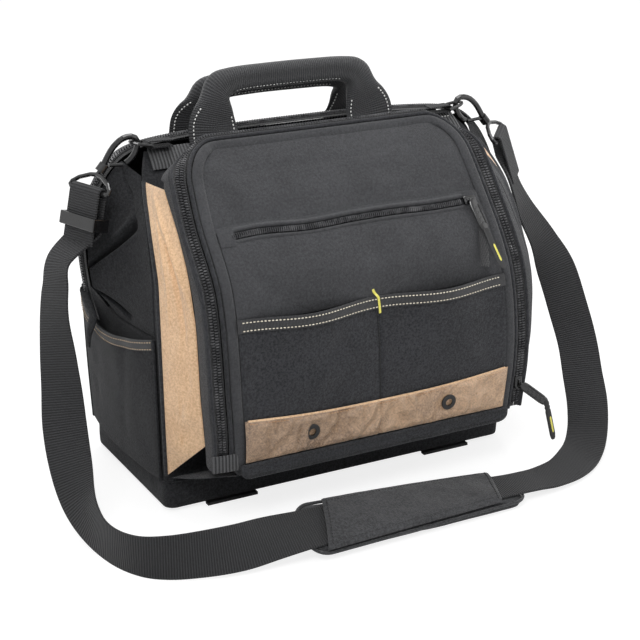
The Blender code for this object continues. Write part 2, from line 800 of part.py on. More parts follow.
def build_door():
    flat = PANEL + CLEARANCE
    door_sheet("door_panel", lambda a: DOOR_BOTTOM, lambda a: DOOR_TOP, lambda a, h, v: 0.0,
               DOOR, "black_fabric", 12, 20)
    zip_foot = ZIP_LINE - ZIP_HALF
    door_sheet("zip_pocket", lambda a: trim_top(a) + CLEARANCE * 6, lambda a: zip_foot - CLEARANCE,
               lambda a, h, v: flat + ZIP_POCKET_RISE * math.sin(math.pi * v) * (1 - a * a),
               PANEL, "black_fabric", 8, 5, POCKET_MARGIN)
    door_sheet("zip_pocket_tape", lambda a: zip_foot + CLEARANCE, lambda a: ZIP_LINE + ZIP_HALF,
               lambda a, h, v: TAPE + CLEARANCE + (CHAIN_RISE if 0.2 < v < 0.8 else 0.0),
               TAPE, "black_fabric", 8, 5, POCKET_MARGIN * 2)
    door_sheet("tool_pocket", lambda a: TOOL_POCKET_FOOT, trim_top,
               lambda a, h, v: tool_pocket_lift(a, h), PANEL, "black_fabric", 16, 6, POCKET_MARGIN)
    door_sheet("pocket_trim", lambda a: trim_top(a) - TRIM_WIDTH, trim_top,
               lambda a, h, v: tool_pocket_lift(a, h) + BINDING + CLEARANCE * 2, BINDING,
               "black_webbing", 16, 2, POCKET_MARGIN)
    door_sheet("kick_strip", lambda a: STRIP_FOOT, lambda a: STRIP_TOP + STRIP_DIP * (a * a - 0.5),
               lambda a, h, v: strip_lift(a, h), PANEL, "tan_fabric", 16, 2, POCKET_MARGIN)
    binding_top = DOOR_BOTTOM + BOTTOM_BINDING
    door_sheet("door_binding", lambda a: DOOR_BOTTOM + CLEARANCE * 2, lambda a: binding_top,
               lambda a, h, v: strip_lift(a, h) + CLEARANCE + BINDING, BINDING * 1.5,
               "black_webbing", 16, 2, POCKET_MARGIN)
    tube("door_piping", door_outline(PIPING_RADIUS + CLEARANCE * 2, -DOOR / 2),
         PIPING_RADIUS, "black_webbing", sides=1)
    for word, side in (("left", -1), ("right", 1)):
        build_eyelet("eyelet_" + word, side * EYELET_SPREAD)


def build_eyelet(name, place):
    across = place / door_spread(EYELET_HEIGHT)
    lift = strip_lift(across, EYELET_HEIGHT) + CLEARANCE * 1.5
    eyelet = ring_turned(name, EYELET_HOLE, EYELET_OUTER, EYELET_RISE, "black_enamel")
    normal = door_normal(EYELET_HEIGHT)
    turn = Vector((0, 0, 1)).rotation_difference(normal).to_matrix().to_4x4()
    eyelet.matrix_world = Matrix.Translation(door_point(place, EYELET_HEIGHT, lift)) @ turn


def seam_point(side, height):
    """The line where the black side gusset meets the tan one."""
    reach = DOOR_REACH * along(SEAM_REACH_SHARES, height / DOOR_TOP)
    spread = door_spread(min(height, DOOR_TOP - DOOR_CORNER)) + SEAM_SPREAD + GUSSET_BACK
    bulge = RIGHT_BULGE * math.sin(math.pi * (height - DOOR_BOTTOM) / (GUSSET_TOP - DOOR_BOTTOM))
    push = bulge if side > 0 else 0.0
    return Vector((side * (spread + push) + door_shift(height), -reach, height))


def corner_point(side, height):
    """The body's front corner, just clear of the wall."""
    reach = wall_reach(height) + PANEL * 1.25
    return Vector((side * (wall_spread(height) - PANEL / 2), -reach, height))


def build_gussets():
    near = 2 * PIPING_RADIUS + CLEARANCE * 4
    door_far = near + DOOR_TAPE_WIDTH
    frame_near = door_far + MOUTH_GAP / 2
    frame_far = frame_near + FRAME_TAPE_WIDTH
    outline_ribbon("door_zip_tape", near, door_far, -DOOR_TAPE_DEEP, TAPE, "black_fabric")
    outline_ribbon("frame_zip_tape", frame_near, frame_far, -DOOR_TAPE_DEEP, TAPE, "black_fabric")
    rim = door_outline(frame_far + PANEL + GUSSET_GAP, -DOOR_TAPE_DEEP)
    count = len(rim)
    roof_height = WALL_TOP - BAND_DROP - CLEARANCE * 6
    roof_reach = wall_reach(roof_height) + CLEARANCE * 3

    def back_edge(index):
        point = rim[index]
        side = -1 if point.x < 0 else 1
        over = min(1.0, max(0.0, (point.z - GUSSET_TOP) / (DOOR_TOP - GUSSET_TOP)))
        low = seam_point(side, min(point.z, GUSSET_TOP))
        high = Vector((point.x, -roof_reach, roof_height))
        return low.lerp(high, over * over * (3 - 2 * over))

    back = [back_edge(i) for i in range(count)]

    def ring_shape(u, v):
        index = round(u * (count - 1))
        return rim[index].lerp(back[index], v)
    sheet("compartment_gusset", ring_shape, count - 1, 3, PANEL, "black_fabric")
    for word, side in (("left", -1), ("right", 1)):
        build_tan_gusset("tan_gusset_" + word, side)
    build_compartment_floor()


def build_tan_gusset(name, side):
    def shape(u, v):
        corner_height = TAN_CORNER_FOOT + (TAN_TOP - TAN_CORNER_FOOT) * v
        seam_height = TAN_SEAM_FOOT + (TAN_TOP - TAN_SEAM_FOOT) * v
        corner = corner_point(side, corner_height)
        seam = seam_point(side, seam_height)
        inward = (corner - seam).normalized() * (GUSSET_GAP + PANEL)
        return corner.lerp(seam + inward, u)
    return sheet(name, shape, 4, 16, PANEL, "tan_fabric", sink=side < 0)


def build_compartment_floor():
    front = DOOR_BOTTOM - CLEARANCE * 3
    front_reach = door_reach(DOOR_BOTTOM) - DOOR
    rear_reach = BASE_DEPTH / 2 + CLEARANCE * 2 + PANEL

    def shape(u, v):
        across = 2 * u - 1
        fore = Vector((across * (DOOR_HALF_WIDTH - DOOR_CORNER / 4), -front_reach, front))
        aft = Vector((across * (BASE_WIDTH / 2 - BASE_CORNER / 2), -rear_reach, BASE_HEIGHT + PANEL * 2))
        return fore.lerp(aft, v)
    return sheet("compartment_floor", shape, 12, 4, PANEL, "black_fabric", sink=False)


# Inside the body

def build_interior():
    board_top = TRAY_WALL + CLEARANCE * 2 + BOARD
    divider_height = DIVIDER_TOP - board_top
    box("inner_divider", (2 * (wall_spread(DIVIDER_TOP) - DIVIDER_MARGIN), PANEL, divider_height),
        Vector((0, DIVIDER_PLACE, board_top + divider_height / 2)), "black_fabric")


# Handles

def build_handle(name, facing):
    """One loop of webbing, folded into a round grip along its top."""
    foot = HANDLE_FOOT
    seat = HANDLE_HALF_SPAN
    rise = HANDLE_RISES[facing]
    top = foot + rise
    half = [Vector((-seat, foot)), Vector((-seat, foot + rise * 0.30)), Vector((-seat + HANDLE_SHOULDER / 5,
            foot + rise * 0.58)), Vector((-seat + HANDLE_CORNER / 2, foot + rise * 0.84)),
            Vector((-seat + HANDLE_CORNER * 1.15, top - HANDLE_SHOULDER / 12)),
            Vector((-seat / 3, top))]
    flat = [Vector((p.x, 0, p.y)) for p in half]
    line = even_spline(flat + [Vector((-p.x, 0, p.z)) for p in reversed(flat)], STRAP_STEP)
    rings = []
    for i, point in enumerate(line):
        run = (line[min(i + 1, len(line) - 1)] - line[max(i - 1, 0)]).normalized()
        wide = Vector((-run.z, 0, run.x))
        height_share = min(1.0, max(0.0, (point.z - foot) / rise))
        fold = min(1.0, max(0.0, (height_share - 0.30) / 0.62))
        fold = fold * fold * (3 - 2 * fold)
        half_width = HANDLE_WEB_HALF + (HANDLE_GRIP_HALF - HANDLE_WEB_HALF) * fold
        half_thick = (WEBBING + (HANDLE_GRIP_THICKNESS - WEBBING) * fold) / 2
        lean = HANDLE_FOOT_REACH + (HANDLE_TOP_REACH - HANDLE_FOOT_REACH) * height_share
        centre = Vector((HANDLE_PLACE + point.x, facing * lean, point.z))
        peak = HANDLE_PEAK * fold * (2 * abs(run.x * run.z)) ** 2
        ring = []
        for k in range(GRIP_SIDES):
            angle = 2 * math.pi * k / GRIP_SIDES
            cosine, sine = math.cos(angle), math.sin(angle)
            square = 1 + 0.08 * abs(math.sin(2 * angle))
            ring.append(centre + wide * (half_width * cosine * square + peak * max(0.0, cosine) ** 2)
                        + Vector((0, half_thick * sine * square, 0)))
        rings.append(ring)
    return loft(name, rings, "black_webbing")


# Sliders and pulls

def frame_of(ahead, outward):
    """A matrix whose X is ahead, Z is outward and Y completes it."""
    ahead = ahead.normalized()
    outward = (outward - ahead * outward.dot(ahead)).normalized()
    across = outward.cross(ahead)
    return Matrix((ahead, across, outward)).transposed()


def slider(name, place, ahead, outward):
    turn = frame_of(ahead, outward)
    lift = outward.normalized() * (SLIDER_HEIGHT / 2 + CLEARANCE)
    return box(name, (SLIDER_LENGTH, SLIDER_WIDTH, SLIDER_HEIGHT), place + lift, "black_enamel",
               CLEARANCE * 2, turn)


def pull(name, place, hang, outward, droop):
    """A ribbed plate along hang and a moulded tail along droop; the slider is at its origin."""
    turn = frame_of(hang, outward)
    tail_turn = frame_of(droop, outward)
    lift = outward.normalized() * (SLIDER_HEIGHT + PULL_THICKNESS / 2 + CLEARANCE * 2)
    start = place + lift
    stations = ((0.0, 0.7, 1.0), (0.10, 1.0, 1.0), (0.88, 1.0, 1.0), (1.0, 0.55, 1.0))
    rings = []
    for share, wide, thick in stations:
        rings.append(pull_ring(start + hang * PULL_LENGTH * share, turn, PULL_WIDTH * wide,
                               PULL_THICKNESS * thick))
    knee = start + hang * PULL_LENGTH
    for share, wide in ((0.25, 1.0), (0.9, 1.0), (1.0, 0.6)):
        rings.append(pull_ring(knee + droop * PULL_TAIL * share, tail_turn, PULL_TAIL_WIDTH * wide,
                               PULL_THICKNESS))
    loft(name, rings, "black_plastic")
    origin_at((name,), start)


def pull_ring(centre, turn, wide, thick):
    across = turn.col[1] * wide / 2
    outward = turn.col[2] * thick / 2
    half_shares = ((-1, -0.5), (-0.8, -1), (0.8, -1), (1, -0.5))
    return [centre + across * a + outward * b
            for a, b in half_shares + tuple((-a, -b) for a, b in half_shares)]


def build_sliders():
    normal = door_normal(ZIP_LINE)
    pocket_place = door_point(POCKET_SLIDER_PLACE, ZIP_LINE, TAPE + CHAIN_RISE + CLEARANCE)
    slider("pocket_zip_slider", pocket_place, Vector((1, 0, 0)), normal)
    down = (door_point(POCKET_SLIDER_PLACE + PULL_LENGTH * 0.16, ZIP_LINE - PULL_LENGTH * 1.8, TRIM_PROUD)
            - pocket_place).normalized()
    pull("pocket_zip_pull", pocket_place, down, normal, down)
    near = 2 * PIPING_RADIUS + CLEARANCE * 4 + DOOR_TAPE_WIDTH + MOUTH_GAP / 4
    line = door_outline(near, -DOOR_TAPE_DEEP)
    lower = [p for p in line if p.x > 0 and p.z <= DOOR_SLIDER_HEIGHT][0]
    upper = [p for p in line if p.x > 0 and p.z > DOOR_SLIDER_HEIGHT][-1]
    place = lower.lerp(upper, (DOOR_SLIDER_HEIGHT - lower.z) / (upper.z - lower.z))
    outward = door_normal(DOOR_SLIDER_HEIGHT)
    slider("door_zip_slider", place + outward * CLEARANCE, Vector((0, 0, 1)), outward)
    hang = Vector((0.72, -0.35, -0.62)).normalized()
    droop = Vector((0.20, -0.10, -0.97)).normalized()
    pull("door_zip_pull", place + outward * CLEARANCE * 2, hang, (outward + hang * 0.2).normalized(), droop)
    share = 1 - dome_share_at(MAIN_SLIDER_HEIGHT)
    out = dome_outward(share)
    seat = dome(share) + out * (TAPE + CHAIN_RISE + CLEARANCE)
    slider("main_zip_slider", seat, Vector((0, 0, 1)), out)
    drop = Vector((0.28, 0, -1)).normalized()
    pull("main_zip_pull", seat, drop, out, drop)


# Rings, hooks and the strap

HOOK_UP = {"left": Vector((0.66, 0, 0.75)).normalized(), "right": Vector((-0.66, 0, 0.75)).normalized()}
# ways from the hook to the ring's bar, down the webbing, and across it to its outer edge
RING_HANG = {"left": Vector((-0.62, -0.20, -0.76)), "right": Vector((0.60, -0.45, -0.66))}
RING_ACROSS = {"left": Vector((-0.30, 0.95, 0)), "right": Vector((0.75, 0.66, 0))}
STRAP_HANG = {"left": Vector((-0.22, -0.07, -0.97)), "right": Vector((0.16, -0.25, -0.95))}
# place shares of the hook's width and height, from its swivel end over the arc to the tip
HOOK_SHARES = ((0.0, 0.08), (-0.10, 0.30), (-0.16, 0.55), (-0.08, 0.80), (0.16, 0.98), (0.48, 1.06),
               (0.80, 0.98), (0.98, 0.78), (0.98, 0.58), (0.90, 0.46))
GATE_SHARES = ((0.82, 0.39), (0.24, 0.19))


def ring_frame(word, side):
    bar = Vector((side * (BAND_HALF_WIDTH - RING_BAR_INSETS[word]), RING_DEPTH_PLACE, RING_BAR_HEIGHT))
    out = Vector((side * RING_REACH, 0, RING_LIFT))
    return bar, out


def build_ring_and_tab(word, side):
    bar, out = ring_frame(word, side)
    half = RING_HALF_WIDTH
    path = [bar + Vector((0, half * t, 0)) for t in (-1.0, -0.4, 0.4, 1.0)]
    for i in range(1, 9):
        angle = math.pi * i / 9
        path.append(bar + Vector((0, half * math.cos(angle), 0)) + out * math.sin(angle) ** 0.75)
    tube("d_ring_" + word, path, RING_WIRE, "black_enamel", cyclic=True, sides=2)
    origin_at(("d_ring_" + word,), bar)
    build_ring_tab("ring_tab_" + word, side, bar)


def build_ring_tab(name, side, bar):
    """Webbing looped round the ring's bar, its two ends sewn flat on the band."""
    bore = RING_WIRE + CLEARANCE * 2
    skin = bore + RING_TAB_SKIN
    outline = []
    for i in range(13):
        angle = -math.pi / 2 + math.pi * i / 12
        outline.append((side * skin * math.cos(angle), skin * math.sin(angle)))
    outline.append((-side * RING_TAB_LENGTH, -skin + RING_TAB_SKIN * 2))
    outline.append((-side * RING_TAB_LENGTH, -skin))
    data = bpy.data.curves.new(name, "CURVE")
    data.dimensions = "2D"
    data.fill_mode = "BOTH"
    data.extrude = RING_TAB_HALF
    add_loop(data, outline)
    add_loop(data, [(bore * math.cos(2 * math.pi * i / 16), bore * math.sin(2 * math.pi * i / 16))
                    for i in range(16)])
    thing = add_object(name, data, "black_webbing")
    thing.matrix_world = Matrix.Translation(bar) @ Matrix.Rotation(math.pi / 2, 4, "X")


def add_loop(data, points):
    line = data.splines.new("POLY")
    line.points.add(len(points) - 1)
    for slot, (x, y) in zip(line.points, points):
        slot.co = (x, y, 0.0, 1.0)
    line.use_cyclic_u = True


def hook_frame(word, side):
    """The hook's swivel point and its up and sideways directions."""
    bar, out = ring_frame(word, side)
    up = HOOK_UP[word]
    across = Vector((side * -up.z, 0, up.x * side))
    crest = bar + out + out.normalized() * (RING_WIRE - HOOK_WIRE / 2)
    inside = HOOK_SEAT * max(rise for run, rise in HOOK_SHARES) - HOOK_WIRE
    origin = crest - up * (inside - RING_WIRE - CLEARANCE * 3) - across * HOOK_WIDTH * 0.42
    return origin, up, across


def build_hook(word, side):
    origin, up, across = hook_frame(word, side)

    def place(share_across, share_up):
        return origin + across * HOOK_WIDTH * share_across + up * HOOK_SEAT * share_up
    path = even_spline([place(a, u) for a, u in HOOK_SHARES], HOOK_WIRE * 1.4)
    hook = tube_mesh("snap_hook_" + word, path, HOOK_WIRE, "black_enamel", sides=3)
    barrel_low = origin - up * HOOK_BARREL * 0.5
    barrel = cylinder_between("hook_barrel_" + word, barrel_low, origin + up * HOOK_BARREL * 1.3,
                              HOOK_BARREL, "black_enamel")
    boolean(hook, barrel, "UNION")
    socket_top = origin + up * HOOK_BARREL * 0.4
    socket = cylinder_between("hook_socket_" + word, barrel_low - up * HOOK_BARREL, socket_top,
                              SWIVEL_PIN + CLEARANCE, "black_enamel", 16)
    boolean(hook, socket, "DIFFERENCE")
    gate = [place(a, u) for a, u in GATE_SHARES]
    tube("hook_gate_" + word, gate, GATE_WIRE, "black_enamel", sides=2)
    origin_at(("snap_hook_" + word,), origin)
    origin_at(("hook_gate_" + word,), gate[-1])
    build_swivel(word, barrel_low, up, origin)


def swivel_bar(word, side):
    origin, up, across = hook_frame(word, side)
    barrel_low = origin - up * HOOK_BARREL * 0.5
    neck = barrel_low - up * (CLEARANCE + SWIVEL_WIRE * 1.4)
    hang = RING_HANG[word].normalized()
    sideways = RING_ACROSS[word]
    sideways = (sideways - hang * sideways.dot(hang)).normalized()
    return neck, neck + hang * SWIVEL_DROP, hang, sideways


def build_swivel(word, barrel_low, up, origin):
    side = -1 if word == "left" else 1
    neck, bar, hang, sideways = swivel_bar(word, side)
    half = STRAP_WIDTH / 2 + SWIVEL_WIRE * 3
    half_shares = ((0.30, 0.08), (0.75, 0.40), (0.98, 0.72), (1.0, 0.92), (0.92, 1.0), (0.4, 1.0))
    shares = ((0, 0),) + half_shares + ((0, 1.0),) + tuple((-a, h) for a, h in reversed(half_shares))
    path = [neck + sideways * half * a + hang * SWIVEL_DROP * h for a, h in shares]
    loop = tube_mesh("swivel_ring_" + word, path, SWIVEL_WIRE, "black_enamel", cyclic=True, sides=3)
    pin = cylinder_between("swivel_pin_" + word, neck, origin + up * HOOK_BARREL * 0.3, SWIVEL_PIN,
                           "black_enamel", 12)
    boolean(loop, pin, "UNION")


# The strap's routes, from each swivel ring to the pad: places of the webbing's middle, with the
# direction towards its outer or lower edge
# per place: share of the body's half width, metres beyond it, depth share from the rings to the pad's
# line, height share from the strap's rest up to the rings; then the way across the webbing
LEFT_ROUTE = (
    ((1.0, 0.0593, 0.03067, 0.70111), (-0.1, 0.99, 0)),
    ((1.0, 0.067, 0.06843, 0.62457), (-0.2, 0.98, 0)),
    ((1.0, 0.0715, 0.10146, 0.54106), (-0.3, 0.95, 0)),
    ((1.0, 0.0733, 0.14394, 0.4412), (-0.515, 0.857, 0)),
    ((1.0, 0.0746, 0.18169, 0.3469), (-0.66, 0.74, -0.05)),
    ((1.0, 0.0775, 0.2336, 0.25226), (-0.8, 0.52, -0.18)),
    ((1.0, 0.08, 0.30911, 0.16527), (-0.72, 0.3, -0.5)),
    ((1.0, 0.082, 0.41293, 0.08177), (-0.45, 0.15, -0.8)),
    ((1.0, 0.08, 0.52619, 0.03305), (-0.15, 0.05, -0.97)),
    ((1.0, 0.074, 0.64889, 0.0087), (0.1, 0, -1)),
    ((1.0, 0.061, 0.75743, 0.00104), (0.12, 0.02, -1)),
    ((1.0, 0.041, 0.82114, 0.0), (0.05, -0.08, -1)),
    ((0.892, 0.03301, 0.85654, 0.0), (0, -0.25, -0.97)),
    ((0.57, 0.05968, 0.87069, -0.00104), (0, -0.5, -0.87)),
    ((0.269, 0.08466, 0.86833, 0.00174), (0, -0.74, -0.67)),
)
RIGHT_ROUTE = (
    ((1.0, 0.03, 0.07787, 0.77418), (0.68, 0.73, 0)),
    ((1.0, 0.037, 0.08731, 0.71155), (0.72, 0.7, 0)),
    ((1.0, 0.046, 0.10618, 0.63848), (0.85, 0.53, 0)),
    ((1.0, 0.061, 0.14394, 0.54106), (0.97, 0.24, 0)),
    ((1.0, 0.07, 0.20057, 0.44015), (0.94, -0.34, 0)),
    ((1.0, 0.074, 0.26664, 0.33229), (0.9, -0.44, 0)),
    ((1.0, 0.0765, 0.33742, 0.22095), (0.9, -0.44, -0.05)),
    ((1.0, 0.072, 0.41765, 0.127), (0.84, -0.54, -0.08)),
    ((1.0, 0.0645, 0.50731, 0.05393), (0.62, -0.78, -0.1)),
    ((1.0, 0.0515, 0.59698, -0.0087), (0.25, -0.95, -0.18)),
    ((1.0, 0.0325, 0.68193, -0.04349), (0.02, -0.98, -0.18)),
    ((0.785, 0.04184, 0.76687, -0.05219), (0, -1, -0.1)),
    ((0.462, 0.06869, 0.80698, -0.05045), (0, -1, -0.04)),
    ((0.226, 0.08822, 0.82114, -0.0428), (0, -1, 0)),
)
LEFT_PAD_PLACES = (-0.104, -0.085, -0.066, -0.047, -0.028, -0.012, 0.0036)
RIGHT_PAD_PLACES = (0.110, 0.092, 0.074, 0.056, 0.038, 0.020, 0.0040)


PAD_FLOOR = -FOOT_HEIGHT + CLEARANCE
PAD_PIVOT = PAD_LINE + STRAP / 2 + CLEARANCE + PAD_THICKNESS


def pad_lean(place):
    return along(PAD_LEANS, (place - PAD_CENTRE) / PAD_LENGTH)


def leaned(point):
    """A place on the upright pad, leaned back on the pad's rear lower edge."""
    angle = pad_lean(point.x)
    ahead, up = point.y - PAD_PIVOT, point.z - PAD_FLOOR
    return Vector((point.x, PAD_PIVOT + ahead * math.cos(angle) + up * math.sin(angle),
                   PAD_FLOOR + up * math.cos(angle) - ahead * math.sin(angle)))


def pad_stations(places):
    """The webbing through the pad: its places and the way across it."""
    stations = []
    for place in places:
        angle = pad_lean(place)
        centre = leaned(Vector((place, PAD_LINE, PAD_FLOOR + PAD_HEIGHT / 2)))
        stations.append((centre, Vector((0, -math.sin(angle), -math.cos(angle)))))
    return stations


def route_place(side, width_share, beyond, depth_share, height_share):
    return Vector((side * (BODY_HALF_WIDTH * width_share + beyond),
                   RING_DEPTH_PLACE + (PAD_LINE - RING_DEPTH_PLACE) * depth_share,
                   STRAP_REST + (RING_BAR_HEIGHT - STRAP_REST) * height_share))


def strap_directions(word, sideways):
    """Down along the webbing at its ring, and out of the face that its folded end leaves free."""
    side = -1 if word == "left" else 1
    drop = (STRAP_HANG[word] - sideways * sideways.dot(STRAP_HANG[word])).normalized()
    return drop, (drop.cross(sideways) * -side).normalized()


def strap_frames(word, side, route):
    """Places and directions along the webbing, folded back round the swivel ring's bar."""
    neck, bar, hang, outer = swivel_bar(word, side)
    drop, face = strap_directions(word, outer)
    tail = [(bar + drop * STRAP_TAIL * t - face * STRAP_FOLD, outer) for t in (1.0, 0.66, 0.33, 0.08)]
    over = []
    for i in range(9):
        angle = math.pi * i / 8
        around = face * math.cos(angle) + drop * math.sin(angle)
        over.append((bar - around * STRAP_FOLD, outer))
    level = (0.08, 0.45, 0.75) if word == "left" else (0.08, 0.35)
    down = [(bar + drop * STRAP_TAIL * t + face * STRAP_FOLD, outer) for t in level]
    away = [(route_place(side, *p), Vector(w).normalized()) for p, w in route]
    places = LEFT_PAD_PLACES if word == "left" else RIGHT_PAD_PLACES
    return tail + over + down + away + pad_stations(places)


def webbing_rings(stations, width, thickness, spacing):
    points = [place for place, wide in stations]
    wides = [wide for place, wide in stations]
    count = 24 * len(points)
    fine = [(spline(points, i / count), spline(wides, i / count)) for i in range(count + 1)]
    chosen = [fine[0]]
    heading = (fine[1][0] - fine[0][0]).normalized()
    run = 0.0
    for before, after in zip(fine, fine[1:]):
        run += (after[0] - before[0]).length
        ahead = (after[0] - before[0]).normalized()
        turning = max((after[1] - chosen[-1][1]).length, (ahead - heading).length / 1.8)
        if run >= spacing or turning > 0.22:
            chosen.append(after)
            heading = ahead
            run = 0.0
    if run > spacing / 8:
        chosen.append(fine[-1])
    else:
        chosen[-1] = fine[-1]
    rings = []
    for i, (point, wide) in enumerate(chosen):
        ahead = (chosen[min(i + 1, len(chosen) - 1)][0] - chosen[max(i - 1, 0)][0]).normalized()
        wide = (wide - ahead * wide.dot(ahead)).normalized()
        thick = ahead.cross(wide)
        rings.append([point + wide * width / 2 * a + thick * thickness / 2 * b
                      for a, b in ((-1, -1), (1, -1), (1, 1), (-1, 1))])
    return rings


def build_strap():
    for word, side, route in (("left", -1, LEFT_ROUTE), ("right", 1, RIGHT_ROUTE)):
        stations = strap_frames(word, side, route)
        rings = webbing_rings(stations, STRAP_WIDTH, STRAP, STRAP_STEP)
        loft("strap_" + word, rings, "black_webbing", smooth=False)


def pad_section(half_height, depth):
    """One slice across the pad: up its front, over its rounded edge and down its back."""
    rows = [2 * i / 6 - 1 for i in range(7)]
    front = [(0.0, 0.90 * half_height * row) for row in rows]
    back = [(depth, 0.88 * half_height * row) for row in reversed(rows)]
    over = [(depth * 0.18, half_height), (depth * 0.70, half_height)]
    under = [(depth * 0.70, -half_height), (depth * 0.18, -half_height)]
    return front + over + back + under


def build_pad():
    """A padded back against the bag's side of the webbing, and a sleeve over its face."""
    middle = PAD_FLOOR + PAD_HEIGHT / 2
    back = PAD_LINE + STRAP / 2 + CLEARANCE
    corner = PAD_HEIGHT / 3
    rings = []
    for share in PAD_SLICE_SHARES:
        across = PAD_LENGTH / 2 * share
        past = min(1.0, max(0.0, (abs(across) - PAD_LENGTH / 2 + corner) / corner))
        half_height = PAD_HEIGHT / 2 - corner * (1 - math.sqrt(1 - past * past))
        section = pad_section(half_height, PAD_THICKNESS * (1 - 0.2 * past * past))
        rings.append([leaned(Vector((PAD_CENTRE + across, back + ahead, middle + up))) for ahead, up in section])
    loft("shoulder_pad", rings, "black_fabric")
    front = PAD_LINE - STRAP / 2 - CLEARANCE
    sleeve_half = PAD_HEIGHT / 2

    def shape(u, v):
        across = 2 * u - 1
        up = 2 * v - 1
        hug = (abs(up) ** 14) * (STRAP + CLEARANCE)
        return leaned(Vector((PAD_CENTRE + across * PAD_SLEEVE_LENGTH / 2, front - PAD_SLEEVE + hug,
                              middle + up * (sleeve_half - CLEARANCE))))
    sheet("pad_sleeve", shape, 12, 10, PAD_SLEEVE, "black_fabric")


def build_adjuster():
    """A moulded slide that keeps the webbing's folded end against the strap."""
    neck, bar, hang, sideways = swivel_bar("left", -1)
    drop, face = strap_directions("left", sideways)
    turn = frame_of(drop, face)
    centre = bar + drop * ADJUSTER_DROP
    slide = box("strap_adjuster", (ADJUSTER_LENGTH, ADJUSTER_WIDTH, ADJUSTER_DEPTH), centre,
                "black_plastic", CLEARANCE * 2, turn)
    window = box("adjuster_window", (ADJUSTER_LENGTH * 2, ADJUSTER_WIDTH - 2 * ADJUSTER_RIM,
                                     ADJUSTER_DEPTH - 2 * ADJUSTER_RIM), centre, "black_plastic", 0.0, turn)
    boolean(slide, window, "DIFFERENCE")


build_base()
build_body()
build_door()
build_gussets()
build_interior()
build_handle("front_handle", -1)
build_handle("rear_handle", 1)
build_sliders()
for end_word, end_side in (("left", -1), ("right", 1)):
    build_ring_and_tab(end_word, end_side)
    build_hook(end_word, end_side)
build_strap()
build_adjuster()
build_pad()

DOOR_PIECES = ("door_panel", "door_piping", "door_zip_tape", "door_binding", "zip_pocket",
               "zip_pocket_tape", "tool_pocket", "pocket_trim", "kick_strip")
REAR_PIECES = ("rear_wall", "rear_gusset_left", "rear_gusset_right", "rear_band", "rear_zip_tape")
origin_at(DOOR_PIECES, Vector((0, -door_reach(DOOR_BOTTOM), DOOR_BOTTOM)))
origin_at(REAR_PIECES, Vector((0, wall_reach(BASE_HEIGHT) + CLEARANCE, BASE_HEIGHT)))
origin_at(("front_handle",), Vector((HANDLE_PLACE, -HANDLE_FOOT_REACH, HANDLE_FOOT)))
origin_at(("rear_handle",), Vector((HANDLE_PLACE, HANDLE_FOOT_REACH, HANDLE_FOOT)))
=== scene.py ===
"""Looks of a soft sided tool carrier: cloth, webbing, zippers, thread and metal over a fixed frame.

Every length is in metres in the frame's own axes: +Z up, the front towards -Y, the floor just under 0.
"""

import json
from math import copysign, cos, exp, hypot, pi, radians, sin, sqrt

import bpy
import numpy as np
from mathutils import Matrix, Vector, noise


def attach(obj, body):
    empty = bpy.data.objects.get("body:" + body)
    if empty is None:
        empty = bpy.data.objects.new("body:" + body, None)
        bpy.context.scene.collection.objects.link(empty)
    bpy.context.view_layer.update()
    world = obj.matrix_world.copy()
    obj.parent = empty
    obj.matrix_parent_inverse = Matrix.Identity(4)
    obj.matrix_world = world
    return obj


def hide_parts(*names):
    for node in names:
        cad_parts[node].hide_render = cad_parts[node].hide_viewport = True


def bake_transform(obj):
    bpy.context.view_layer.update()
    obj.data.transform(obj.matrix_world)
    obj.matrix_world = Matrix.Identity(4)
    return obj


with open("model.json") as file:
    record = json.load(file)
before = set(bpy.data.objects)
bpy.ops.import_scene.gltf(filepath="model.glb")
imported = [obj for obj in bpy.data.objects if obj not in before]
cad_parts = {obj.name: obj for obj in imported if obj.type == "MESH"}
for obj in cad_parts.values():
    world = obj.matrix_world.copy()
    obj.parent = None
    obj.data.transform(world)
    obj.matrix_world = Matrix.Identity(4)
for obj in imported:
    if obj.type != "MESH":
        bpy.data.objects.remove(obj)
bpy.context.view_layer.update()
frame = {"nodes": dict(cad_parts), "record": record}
BODY_OF = {node: body for body, nodes in frame["record"]["behaviour"]["bodies"].items() for node in nodes}

# Sizes

CLEARANCE = 0.0004
WALL = 0.0026
PANEL = 0.0020
WEBBING = 0.0022
TAPE = 0.0012
PANEL_CLOTH = PANEL * 0.8
TAPE_CLOTH = TAPE * 0.8
GUSSET_CLOTH = WALL * 0.7
HEM = 0.3
LINE_STEP = 0.0022
BASE_WIDTH = 0.344
BASE_DEPTH = 0.168
BASE_HEIGHT = 0.027
BASE_CORNER = 0.010
BASE_STEP = 0.008
TRAY_WALL = 0.0030
BOARD = 0.0045
FOOT_HEIGHT = 0.003
BODY_HALF_DEPTH = 0.088
BODY_HALF_WIDTH = 0.176
CORNER_RADIUS = 0.0075
CORNER_TIGHTENING = 0.0050
RIDGE_HEIGHT = 0.3075
APEX_HALF_WIDTH = 0.206
SIDE_SPLIT = 0.158
WALL_TOP = 0.2990
SIDE_TOP = 0.2830
SIDE_BULGE = 0.006
TAPE_HALF = 0.0100
MOUTH_GAP = 0.0010
CHAIN_RISE = 0.0014
BAND_DROP = 0.0110
BAND_HALF_WIDTH = 0.150
BAND_FALL = 0.0135
BAND_RISE = 0.0014
REACH_SHARES = ((0.0, 0.955), (0.32, 1.0), (0.60, 1.0), (0.70, 0.97), (0.81, 0.78),
                (0.915, 0.41), (0.973, 0.165), (1.0, 0.06))
SPREAD_SHARES = ((0.0, 0.977), (0.32, 0.995), (0.70, 1.0), (0.81, 0.985), (0.92, 0.925), (1.0, 0.83))
DOME_SHARES = ((0.955, 0.505), (0.985, 0.60), (1.0, 0.71), (0.985, 0.79), (0.935, 0.87),
               (0.865, 0.935), (0.76, 0.975), (0.55, 0.992), (0.27, 0.999), (0.0, 1.0))
